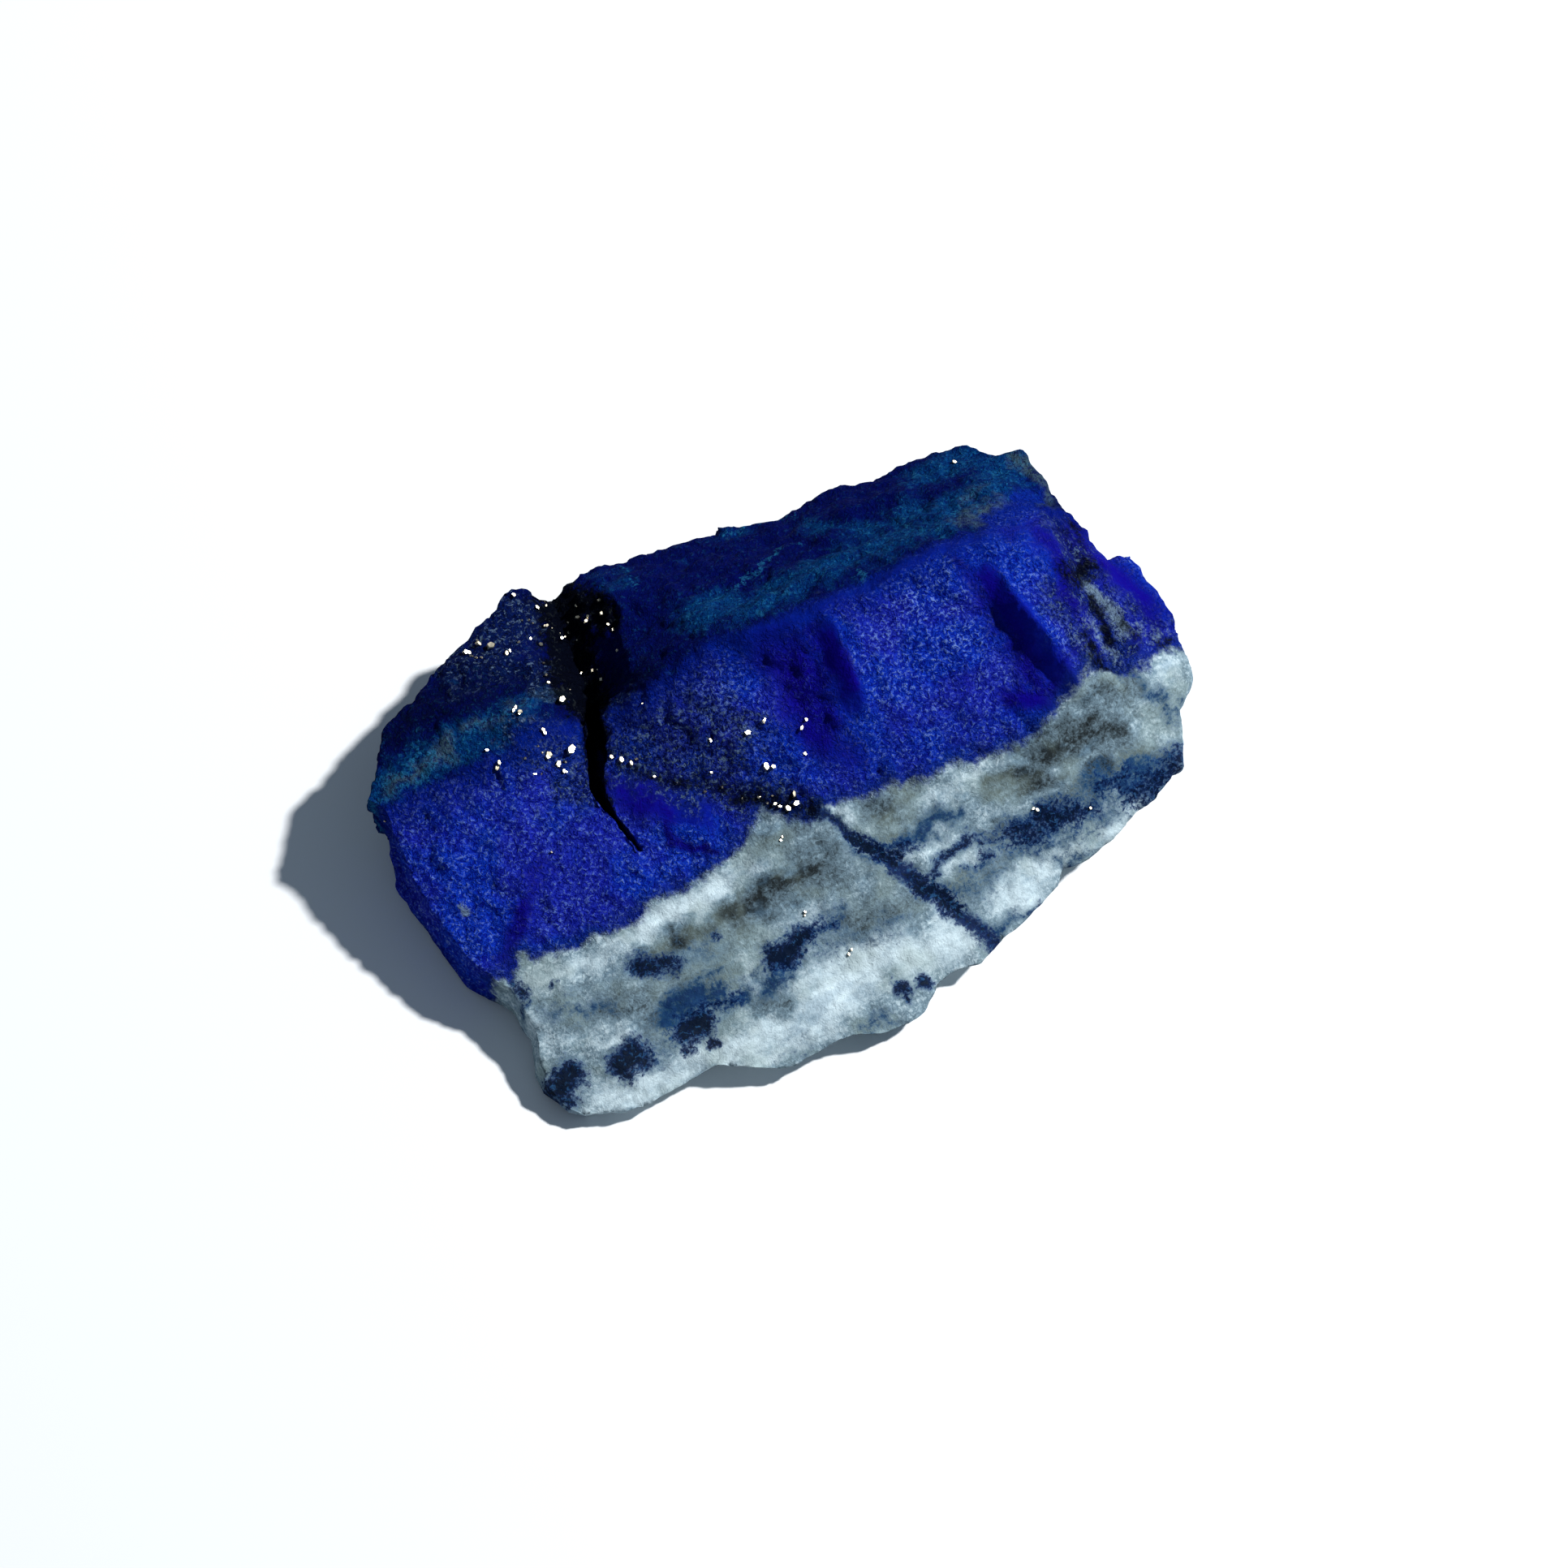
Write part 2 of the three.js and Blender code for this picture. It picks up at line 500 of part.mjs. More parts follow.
// One closed mesh: the top, the wall below the rim, and the underside.
function rockGeometry() {
  const rim = detailedRim();
  const mesh = { vertices: rim.map(({ point }) => [...point]), triangles: [] };
  addTop(mesh, rim.length);
  addUnderside(mesh, addWall(mesh, rim));
  const geometry = new THREE.BufferGeometry();
  geometry.setAttribute("position", new THREE.Float32BufferAttribute(mesh.vertices.flat(), 3));
  geometry.setIndex(mesh.triangles.flat());
  return geometry;
}

// The cutter that opens the crack: a thin crooked wedge that stands in the stone.
function crackGeometry() {
  const shape = new THREE.Shape(CRACK.map(([x, y]) => new THREE.Vector2(x, y)));
  const depth = CRACK_TOP - CRACK_FLOOR;
  return new THREE.ExtrudeGeometry(shape, { depth, bevelEnabled: false }).translate(0, 0, CRACK_FLOOR);
}

const wasm = await Module();
wasm.setup();

function solidOf(geometry) {
  const bare = new THREE.BufferGeometry().setIndex(geometry.index);
  bare.setAttribute("position", geometry.getAttribute("position"));
  const merged = mergeVertices(bare, MERGE_DISTANCE);
  const vertProperties = new Float32Array(merged.getAttribute("position").array);
  const triVerts = new Uint32Array(merged.index.array);
  return new wasm.Manifold(new wasm.Mesh({ numProp: 3, vertProperties, triVerts }));
}

function geometryOf(solid) {
  const { vertProperties, triVerts } = solid.getMesh();
  const geometry = new THREE.BufferGeometry();
  geometry.setAttribute("position", new THREE.Float32BufferAttribute(vertProperties, 3));
  geometry.setIndex([...triVerts]);
  geometry.computeVertexNormals();
  return geometry;
}

const lapis = new THREE.MeshStandardMaterial({ color: 0x1b2c8c, roughness: 0.85, metalness: 0 });

const rock = new THREE.Mesh(
  geometryOf(solidOf(rockGeometry()).subtract(solidOf(crackGeometry()))),
  lapis,
);
rock.name = "lapis_rock";

const specimen = new THREE.Group();
specimen.add(rock);
export default specimen;
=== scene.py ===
"""A rough chunk of lapis lazuli, finished on its CAD solid: broken blue stone, a weathered back,
a banded calcite margin and small pyrite crystals. Plan positions are in millimetres."""

import math
import random

import bpy
import numpy as np
from mathutils import Matrix, Vector, noise
from mathutils.bvhtree import BVHTree


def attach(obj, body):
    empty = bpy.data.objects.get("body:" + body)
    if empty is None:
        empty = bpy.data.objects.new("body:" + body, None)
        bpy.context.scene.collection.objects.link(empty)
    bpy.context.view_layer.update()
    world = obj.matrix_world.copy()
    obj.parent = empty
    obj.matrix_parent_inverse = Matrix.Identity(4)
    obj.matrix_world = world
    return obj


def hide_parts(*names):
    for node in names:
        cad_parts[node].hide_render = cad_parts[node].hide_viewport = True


bl_info = {
    "name": "Rough Lapis Lazuli",
    "version": (1, 0, 0),
    "blender": (4, 5, 0),
    "location": "3D View > Sidebar > Lapis",
    "description": "Dresses the lapis lazuli chunk: stone, pyrite crystals and studio stage",
    "category": "Add Mesh",
}

MM = 0.001
NODE = "lapis_rock"
BODY = "root"

# The camera and the key light, round the stone.
VIEW_TURN = -27.0  # degrees round from the -Y side, positive towards +X
VIEW_RISE = 65.0
VIEW_DISTANCE = 208.4 * MM
VIEW_TARGET = Vector((-1.3, -1.4, 5.0)) * MM
VIEW_LENS = 80.0
KEY_TURN = -5.3  # degrees round from +X
KEY_RISE = 47.0
KEY_DISTANCE = 0.8

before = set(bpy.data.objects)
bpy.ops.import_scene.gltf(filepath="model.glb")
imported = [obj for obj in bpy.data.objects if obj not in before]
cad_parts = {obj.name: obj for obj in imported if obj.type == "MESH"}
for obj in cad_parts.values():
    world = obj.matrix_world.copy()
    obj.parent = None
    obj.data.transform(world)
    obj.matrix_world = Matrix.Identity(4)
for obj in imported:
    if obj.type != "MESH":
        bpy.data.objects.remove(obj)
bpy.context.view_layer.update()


# ---------------------------------------------------------------------------------------------
# Where the minerals and the painted shade lie, seen from above, in millimetres.

# The edge of the calcite: blue stone lies behind it (+Y) and pale rock in front of it.
PALE_EDGE = [
    (-27.0, -5.6), (-22.6, -4.6), (-21.4, -4.7), (-20.9, -5.0), (-20.5, -4.2), (-20.1, -3.7),
    (-19.6, -3.8), (-19.3, -4.4), (-17.6, -4.7), (-15.5, -5.0), (-12.6, -5.1), (-11.5, -4.7),
    (-9.8, -4.9), (-7.6, -4.7), (-5.6, -4.2), (-4.8, -3.9), (-4.2, -3.3), (-3.5, -3.0),
    (-2.9, -3.4), (-2.3, -4.4), (-1.6, -5.1), (-0.8, -5.0), (-0.2, -4.5), (0.9, -4.7),
    (1.8, -5.1), (4.0, -5.2), (6.0, -5.7), (8.3, -5.7), (8.9, -6.1), (9.6, -5.8), (10.8, -6.3),
    (13.2, -6.3), (15.2, -5.6), (16.7, -5.0), (17.4, -4.7), (18.8, -5.0), (19.7, -5.6),
    (21.0, -5.3), (21.6, -4.9), (22.6, -4.6), (24.0, -4.8), (27.0, -4.9),
]

# The edge of the weathered back: old, dark faces lie behind it (+Y).
WEATHERED_EDGE = [
    (-27.0, 8.0), (-23.0, 7.3), (-20.8, 7.0), (-18.0, 6.7), (-16.5, 6.6), (-15.2, 6.9),
    (-13.6, 7.4), (-11.5, 7.0), (-9.3, 6.1), (-7.0, 5.9), (-4.2, 6.0), (-3.2, 6.2), (-2.2, 6.1),
    (-1.2, 5.8), (0.2, 5.5), (4.0, 5.4), (6.2, 5.3), (7.6, 5.5), (10.0, 5.4), (13.6, 5.3),
    (14.8, 5.2), (16.2, 6.4), (18.8, 7.6), (20.2, 7.2), (21.2, 6.2), (27.0, 6.0),
]

# Markings are strokes: (reach, strength, line). A stroke is strongest along its line and fades
# to nothing at its reach.
# White calcite; the strokes along the front rim are partly painted light, brightening the thin edge
# where light comes through it.
WHITE = [
    (1.1, 0.8, [(-20.2, -5.4), (-18.5, -5.9), (-16.0, -6.1), (-13.6, -5.9)]),
    (1.2, 1.3, [(-13.0, -5.7), (-11.2, -5.7), (-9.5, -5.9), (-8.0, -5.8)]),
    (1.0, 0.7, [(-8.0, -5.8), (-6.0, -5.5), (-4.8, -5.6)]),
    (0.9, 0.5, [(-20.9, -7.6), (-20.6, -9.0)]),
    (1.0, 0.5, [(-20.6, -9.4), (-18.2, -9.4), (-16.4, -10.2)]),
    (0.6, 0.8, [(-8.4, -9.8), (-8.3, -10.6), (-8.6, -11.0)]),
    (0.8, 0.6, [(-6.6, -8.9), (-4.2, -9.2), (-3.4, -9.6)]),
    (0.4, 0.8, [(-18.3, -10.5), (-17.0, -10.7), (-15.9, -11.0)]),
    (1.5, 0.9, [(-19.4, -12.9), (-18.2, -13.6), (-15.5, -13.9), (-12.8, -13.9)]),
    (1.5, 1.1, [(-12.4, -14.0), (-10.6, -14.4), (-9.2, -15.2)]),
    (1.6, 0.9, [(-9.6, -13.6), (-7.6, -14.8), (-5.6, -15.2)]),
    (2.0, 1.5, [(-5.4, -14.0), (-3.8, -13.6), (-2.4, -13.2), (-0.9, -13.2)]),
    (1.2, 0.6, [(-6.0, -12.7), (-4.0, -12.6), (-2.8, -12.6)]),
    (1.9, 1.3, [(0.2, -13.6), (2.0, -14.2), (3.6, -14.2)]),
    (1.0, 0.9, [(3.6, -13.0), (4.4, -14.6)]),
    (0.6, 0.7, [(0.2, -4.9), (0.9, -5.6), (1.7, -6.8)]),
    (0.8, 0.5, [(2.6, -9.0), (4.0, -9.2), (5.6, -8.9)]),
    (1.0, 0.6, [(5.2, -6.5), (7.2, -6.7), (9.4, -6.3)]),
    (0.7, 0.4, [(10.4, -6.8), (11.4, -7.1)]),
    (0.8, 0.45, [(8.4, -9.0), (11.0, -9.3), (13.6, -9.1)]),
    (0.8, 0.4, [(19.0, -8.2), (20.4, -8.6), (21.0, -9.4)]),
    (1.4, 1.0, [(7.4, -13.2), (9.0, -13.0), (10.4, -12.6)]),
    (0.9, 0.8, [(11.6, -12.0), (13.6, -12.2)]),
    (0.9, 1.1, [(14.6, -12.4), (16.4, -11.9), (17.6, -11.6)]),
    (0.8, 0.6, [(5.4, -10.6), (6.8, -10.4)]),
    (1.2, 0.8, [(21.8, -5.8), (22.8, -5.8)]),
]

GREY = [
    (0.8, 1.1, [(-13.8, -7.5), (-12.8, -7.3), (-11.6, -7.2)]),
    (0.8, 1.1, [(-11.8, -7.1), (-9.8, -7.2)]),
    (0.9, 1.2, [(-9.8, -7.3), (-8.0, -7.5), (-6.6, -7.4)]),
    (1.1, 1.4, [(-6.6, -7.3), (-5.2, -7.0), (-4.0, -7.2), (-2.8, -7.4)]),
    (0.8, 0.6, [(-2.6, -7.2), (-1.0, -6.9)]),
    (1.3, 0.6, [(-7.4, -8.3), (-4.6, -8.2), (-1.6, -8.0)]),
    (1.2, 0.5, [(-4.0, -4.6), (-3.0, -5.2), (-1.8, -6.0)]),
    (1.1, 0.5, [(-18.6, -8.9), (-16.0, -9.0), (-13.6, -9.2)]),
    (1.5, 0.5, [(-15.4, -9.6), (-12.5, -9.4), (-9.6, -9.2)]),
    (0.8, 0.7, [(-15.0, -10.6), (-13.6, -10.5)]),
    (1.5, 0.5, [(-2.2, -10.8), (0.2, -10.9), (1.8, -11.4)]),
    (1.0, 0.6, [(-8.2, -12.8), (-7.2, -13.3)]),
    (1.1, 0.7, [(1.8, -5.8), (3.2, -6.1), (4.6, -5.9)]),
    (0.9, 0.5, [(2.0, -7.4), (4.0, -7.6)]),
    (1.1, 1.1, [(9.2, -7.6), (10.4, -8.0), (12.0, -8.2)]),
    (1.1, 0.9, [(12.0, -8.2), (14.4, -7.9)]),
    (1.2, 1.1, [(13.0, -7.2), (14.8, -7.2), (16.4, -7.5), (18.0, -7.8)]),
    (1.0, 0.7, [(11.4, -6.9), (13.6, -6.7)]),
    (1.1, 0.6, [(16.6, -6.0), (18.6, -6.0), (19.8, -6.4)]),
    (0.8, 1.0, [(15.6, -9.1), (16.8, -9.2)]),
    (1.1, 0.7, [(17.2, -9.4), (20.6, -9.8)]),
    (0.9, 0.6, [(8.6, -9.7), (12.0, -9.5), (15.0, -9.7)]),
    (0.8, 0.6, [(18.4, -8.9), (19.6, -8.7)]),
    (1.1, 0.4, [(4.6, -11.4), (6.6, -11.6), (8.4, -11.6)]),
]

STAIN = [
    (1.1, 0.8, [(-19.8, -7.6), (-18.4, -8.1), (-16.6, -8.6)]),
    (1.4, 1.6, [(-13.4, -10.5), (-11.6, -10.4), (-10.4, -10.7)]),
    (1.6, 0.9, [(-6.8, -10.9), (-5.2, -10.6), (-4.0, -10.1)]),
    (1.3, 0.7, [(-14.4, -10.8), (-14.0, -11.8)]),
    (1.1, 1.3, [(-12.0, -11.2), (-10.6, -11.3), (-9.2, -11.6)]),
    (1.2, 0.8, [(-15.4, -12.5), (-14.2, -12.3)]),
    (1.1, 1.3, [(-7.8, -11.9), (-6.8, -11.8), (-6.2, -11.2)]),
    (1.1, 1.0, [(-4.4, -9.9), (-2.8, -10.2), (-2.0, -10.1)]),
    (1.4, 0.7, [(-4.0, -11.7), (-1.6, -11.9), (0.8, -12.2)]),
    (1.3, 0.6, [(-11.3, -7.8), (-10.0, -8.3)]),
    (1.0, 0.9, [(-3.4, -16.3), (-2.2, -16.2), (-1.8, -16.8)]),
    (1.0, 0.6, [(-8.4, -15.6), (-7.0, -15.8)]),
    (1.0, 1.3, [(1.8, -8.2), (3.2, -8.2), (4.6, -7.9), (6.4, -7.9)]),
    (1.6, 0.8, [(3.8, -11.4), (6.0, -12.2), (7.6, -12.2)]),
    (0.7, 1.3, [(6.2, -14.5), (7.4, -14.3), (8.6, -14.2)]),
    (0.7, 1.1, [(11.6, -12.7), (13.4, -12.8)]),
    (1.0, 1.0, [(19.0, -4.6), (19.9, -5.6), (20.6, -6.8), (21.4, -7.6), (22.4, -7.8)]),
    (1.2, 0.8, [(8.8, -11.2), (11.6, -11.4), (13.6, -11.5), (16.0, -11.3)]),
    (0.6, 1.0, [(-21.1, -7.0), (-20.8, -6.7)]),
    (1.6, 1.4, [(15.2, -10.0), (16.6, -10.1), (17.6, -10.4), (19.6, -10.6)]),
    (1.0, 0.9, [(0.2, -7.2), (1.2, -8.3)]),
    (1.5, 1.1, [(9.6, -10.4), (12.4, -10.4), (14.4, -10.6)]),
    (0.7, 0.9, [(6.2, -10.9), (7.6, -10.8)]),
]

SPOT = [
    (1.0, 1.2, [(-14.0, -7.5), (-13.2, -8.0), (-12.4, -8.2)]),
    (0.35, 1.0, [(-18.9, -6.3), (-18.8, -6.4)]),
    (1.25, 1.4, [(-21.6, -11.3), (-20.8, -11.4), (-20.2, -11.2)]),
    (0.9, 1.1, [(-21.4, -12.2), (-21.0, -12.7)]),
    (1.45, 1.4, [(-17.2, -12.1), (-16.8, -12.1), (-16.4, -12.0)]),
    (1.35, 1.5, [(-13.1, -11.9), (-12.5, -11.9), (-12.2, -12.0)]),
    (0.9, 0.8, [(-12.4, -11.2), (-11.4, -11.2)]),
    (0.8, 0.75, [(-11.0, -11.4), (-9.6, -11.6)]),
    (1.2, 1.4, [(-6.6, -10.8), (-5.4, -10.7), (-4.6, -10.3)]),
    (0.8, 0.8, [(-3.4, -10.2), (-2.5, -10.5)]),
    (0.4, 1.1, [(-13.7, -13.1), (-13.2, -13.15)]),
    (0.4, 1.1, [(-12.1, -13.3), (-11.7, -13.4)]),
    (0.7, 1.1, [(-0.8, -15.2), (-0.3, -15.3)]),
    (0.4, 1.0, [(-0.5, -15.8), (-0.4, -16.0)]),
    (0.55, 1.3, [(0.75, -15.4), (0.9, -15.5)]),
    (0.4, 0.9, [(-9.3, -8.1), (-9.1, -8.3)]),
    (0.6, 0.9, [(-20.8, -5.0), (-20.9, -5.9), (-20.9, -6.5)]),
    (0.9, 0.9, [(2.4, -8.4), (3.6, -8.4)]),
    (0.55, 0.8, [(4.0, -10.5), (4.4, -10.1), (5.0, -9.8)]),
    (0.6, 1.0, [(5.0, -9.8), (5.8, -9.6), (6.6, -9.6)]),
    (0.5, 0.7, [(6.6, -9.6), (7.6, -9.8), (8.4, -9.9)]),
    (0.65, 1.1, [(7.4, -10.6), (7.8, -10.7)]),
    (0.5, 0.5, [(5.8, -11.0), (6.8, -10.9)]),
    (1.2, 1.0, [(9.4, -10.3), (10.8, -10.6)]),
    (1.1, 1.2, [(11.6, -10.2), (12.6, -10.4), (13.4, -10.7)]),
    (0.8, 0.9, [(13.4, -10.6), (14.8, -10.8)]),
    (1.0, 0.8, [(15.4, -10.0), (17.2, -10.1)]),
    (1.5, 0.9, [(17.4, -10.9), (18.7, -11.0), (19.8, -10.7), (20.8, -10.3)]),
    (0.4, 0.8, [(9.3, -14.0), (9.5, -13.9)]),
    (0.6, 0.6, [(0.4, -6.8), (1.0, -7.7), (1.4, -7.9)]),
    (0.9, 0.8, [(3.0, -10.9), (3.8, -11.4), (4.4, -12.2)]),
]

VEIN = [
    (0.5, 1.2, [(-0.9, -4.6), (-0.3, -5.2), (0.1, -6.0), (0.5, -6.7), (1.0, -7.3), (1.6, -8.3),
                (2.1, -9.2)]),
    (0.8, 1.1, [(2.1, -9.2), (2.6, -10.1), (3.1, -10.9), (3.6, -11.8), (4.2, -12.6), (4.7, -13.5),
                (5.2, -14.3), (5.9, -15.4)]),
]

TEAL = [
    (2.8, 1.0, [(-1.4, 8.6), (0.4, 7.6), (3.0, 7.7), (6.4, 7.9), (10.0, 8.0), (13.4, 7.2)]),
    (2.4, 1.1, [(12.4, 9.6), (14.6, 8.4), (16.4, 8.6), (19.0, 9.6), (20.6, 11.0)]),
    (2.6, 0.95, [(16.0, 13.0), (18.6, 12.6), (19.6, 12.2)]),
    (1.6, 0.5, [(2.0, 15.6), (4.6, 15.4)]),
    (2.3, 1.4, [(-22.6, 8.2), (-21.0, 8.3), (-18.6, 8.4), (-16.2, 8.2), (-14.6, 8.2)]),
    (1.3, 0.9, [(-14.2, 8.7), (-12.6, 9.0), (-11.4, 9.0)]),
    (1.5, 0.6, [(-5.6, 14.6), (-3.6, 14.4)]),
    (1.2, 0.7, [(8.0, 12.4), (10.0, 10.6), (11.6, 9.6)]),
    (1.0, 0.6, [(14.4, 12.6), (15.4, 13.8)]),
]

OLIVE = [
    (1.0, 1.0, [(21.2, 11.0), (21.6, 9.4), (21.8, 8.0), (21.2, 6.8), (20.8, 6.2)]),
    (1.5, 0.8, [(15.2, 6.9), (16.4, 7.2), (17.8, 7.1)]),
    (0.9, 0.7, [(16.2, 8.6), (17.6, 9.2)]),
    (1.1, 0.9, [(-22.4, 7.8), (-20.8, 8.0), (-19.2, 8.2), (-18.4, 9.0)]),
    (1.0, 0.7, [(-17.0, 8.8), (-15.2, 8.6), (-14.0, 8.9)]),
    (1.1, 0.8, [(-12.8, 9.4), (-11.2, 8.9)]),
]

WISP = [
    (0.4, 0.7, [(2.0, 10.2), (3.4, 10.6), (4.2, 11.1), (5.2, 11.8)]),
    (0.4, 0.5, [(0.8, 9.6), (1.6, 9.9), (2.4, 10.3)]),
    (0.3, 0.5, [(5.2, 11.7), (6.4, 11.4), (7.4, 11.4)]),
    (0.5, 1.0, [(6.2, 4.5), (6.8, 4.8), (7.4, 5.3), (7.6, 5.9)]),
    (0.5, 0.9, [(11.8, 3.9), (12.4, 3.6), (13.2, 4.0), (13.8, 3.0)]),
    (0.4, 0.7, [(12.0, 8.0), (12.2, 8.8), (12.5, 9.7)]),
    (0.3, 0.7, [(-1.4, 9.6), (-0.2, 9.3), (0.8, 9.7)]),
    (0.4, 0.8, [(-23.8, 7.9), (-22.3, 7.4), (-20.6, 7.3)]),
    (0.6, 0.9, [(-20.6, 7.6), (-19.8, 7.9), (-19.4, 8.6)]),
    (0.8, 0.7, [(-22.6, 8.2), (-21.4, 8.4), (-20.4, 9.0)]),
    (0.7, 0.6, [(-17.4, 8.4), (-15.8, 8.8), (-14.4, 8.6)]),
    (0.4, 0.7, [(-16.2, 6.7), (-15.0, 6.9), (-14.6, 7.3)]),
    (0.3, 0.7, [(-14.8, 8.2), (-14.0, 8.9), (-13.2, 8.8)]),
    (0.4, 0.6, [(-3.8, 16.0), (-3.6, 14.6), (-4.0, 13.2)]),
    (0.5, 0.6, [(12.2, 10.5), (13.0, 10.4)]),
    (0.4, 0.6, [(16.6, 11.8), (18.6, 12.4)]),
    (0.4, 0.7, [(15.0, 8.0), (15.8, 8.4), (17.4, 9.4)]),
    (0.6, 0.7, [(3.2, 15.4), (4.8, 15.6)]),
    (0.5, 0.6, [(5.6, 15.2), (7.6, 14.4)]),
]

# Dark matrix round the pyrite; in the pits and along the crack its black is partly painted shadow,
# deepening the shade there.
ORE_AND_SHADOW = [
    (2.6, 1.3, [(-8.2, 15.4), (-8.7, 13.4), (-9.3, 11.4), (-9.8, 9.6), (-9.8, 8.2)]),
    (1.5, 1.1, [(-7.4, 15.2), (-6.6, 13.8), (-6.3, 12.2)]),
    (0.7, 1.1, [(-9.8, 8.4), (-10.6, 6.0), (-11.2, 4.2), (-11.4, 2.4)]),
    (0.25, 0.9, [(-11.4, 2.4), (-11.4, 0.4), (-11.1, -1.2)]),
    (0.6, 0.8, [(-9.7, 6.5), (-9.9, 5.0)]),
    (0.9, 0.55, [(-9.9, 3.0), (-8.8, 1.6), (-7.4, 0.4), (-5.8, -0.4), (-4.4, -1.6)]),
    (1.3, 0.7, [(-4.4, -1.8), (-3.0, -2.7), (-1.8, -3.6), (-0.8, -4.6)]),
    (1.6, 0.8, [(18.9, 0.6), (20.0, 1.1), (20.7, 1.7)]),
    (0.9, 0.7, [(18.0, -3.2), (18.1, -4.4), (18.3, -5.0)]),
    (0.8, 0.75, [(19.6, -0.6), (19.7, -2.0), (19.5, -3.4)]),
    (0.9, 0.6, [(21.6, 5.2), (21.8, 3.6)]),
    (0.8, 0.5, [(20.3, 4.4), (21.0, 4.2)]),
    (0.7, 0.6, [(20.8, -2.6), (21.2, -3.6)]),
    (0.6, 0.6, [(22.6, -4.2), (23.6, -4.2)]),
]
PIT_STROKES = 2  # how many of these, from the first, lie in the pit

SPECKLED = [
    (3.6, 1.2, [(-8.8, 4.6), (-7.6, 3.2), (-6.4, 1.6), (-5.2, 0.4)]),
    (2.6, 0.8, [(-4.6, 3.6), (-3.6, 2.2), (-2.6, 1.0)]),
    (1.5, 1.2, [(-9.4, 2.6), (-7.4, 0.4), (-5.8, -0.4), (-4.4, -1.6), (-2.4, -3.2), (-0.8, -4.6)]),
    (2.6, 1.2, [(-14.4, 6.6), (-13.4, 6.0), (-12.4, 4.6), (-12.4, 3.4)]),
    (2.4, 1.3, [(-15.4, 13.6), (-13.6, 13.6), (-12.0, 14.4), (-11.0, 15.6)]),
    (1.8, 1.1, [(-13.4, 12.0), (-11.6, 11.2), (-12.0, 9.6)]),
    (1.2, 0.7, [(-16.6, 11.6), (-15.2, 11.4)]),
    (1.9, 1.2, [(19.6, -0.6), (20.4, -2.2), (20.4, -3.4), (19.4, -4.4)]),
    (2.0, 0.8, [(17.0, -1.0), (17.6, -3.0), (17.8, -4.4)]),
    (1.9, 0.6, [(21.6, -1.4), (22.6, -2.8), (23.4, -3.6)]),
    (2.2, 0.9, [(20.4, 4.4), (20.4, 2.6), (20.0, 1.0)]),
]

DUSTY = [
    (2.4, 0.8, [(-4.2, 4.8), (-3.4, 3.4), (-2.9, 1.6)]),
    (2.6, 0.8, [(9.0, 2.4), (10.8, 2.6), (11.6, 1.2), (10.8, -0.2)]),
    (1.8, 0.6, [(5.6, 1.2), (6.4, 0.0), (6.0, -1.0)]),
    (2.2, 0.7, [(-22.0, 5.8), (-19.0, 5.8), (-16.4, 5.4)]),
    (2.0, 0.5, [(15.4, -0.6), (16.2, -2.2)]),
]

SMOOTH = [
    (1.1, 1.1, [(4.0, 3.2), (3.6, 1.6), (3.5, 0.2), (3.6, -0.9)]),
    (1.2, 1.1, [(14.1, 2.2), (14.2, 0.2), (14.8, -2.0), (15.4, -4.0), (15.9, -5.3)]),
    (1.3, 0.7, [(-1.0, 5.6), (0.4, 5.0), (4.0, 4.8), (8.0, 4.7), (12.0, 4.7), (14.6, 4.5)]),
    (1.2, 0.6, [(0.6, -0.6), (1.2, -2.0), (2.2, -3.4)]),
    (2.2, 0.5, [(15.6, 4.8), (18.0, 4.4), (19.8, 2.8), (17.4, 2.6)]),
    (1.8, 1.0, [(-10.6, 1.8), (-9.4, 0.4), (-8.0, -0.8), (-6.8, -1.6)]),
    (1.4, 0.9, [(22.0, 2.0), (22.2, 0.4), (23.0, -1.0)]),
    (0.8, 0.9, [(13.0, -4.6), (14.4, -5.4)]),
    (0.6, 0.8, [(20.8, -3.4), (21.2, -4.6)]),
]

SKY_BLUE = [
    (1.6, 1.0, [(-15.0, 1.9), (-13.8, 2.4), (-12.9, 2.2)]),
    (0.9, 0.8, [(-13.0, 4.0), (-12.4, 3.6)]),
    (1.4, 1.3, [(-8.4, -2.6), (-7.4, -3.3), (-6.6, -2.9)]),
    (1.6, 0.8, [(-1.6, -1.2), (-0.8, -2.2), (0.4, -3.2)]),
    (1.2, 0.9, [(-19.4, -3.6), (-18.2, -3.9)]),
    (1.2, 0.9, [(6.4, 4.4), (7.4, 5.0)]),
    (1.4, 0.7, [(11.8, 3.9), (13.2, 3.4), (13.6, 2.8)]),
    (2.2, 0.9, [(15.6, 3.6), (17.4, 3.2), (18.6, 3.4)]),
    (1.2, 0.8, [(15.6, 1.6), (16.8, 1.4), (18.0, 1.4)]),
    (2.4, 1.0, [(16.8, 5.6), (19.0, 6.4), (20.0, 7.2)]),
    (2.0, 0.7, [(3.0, -4.0), (6.0, -4.2), (9.0, -4.0)]),
    (1.6, 0.5, [(-4.2, 4.4), (-3.4, 2.8)]),
    (1.2, 0.5, [(-10.0, -3.4), (-12.6, -3.6)]),
]
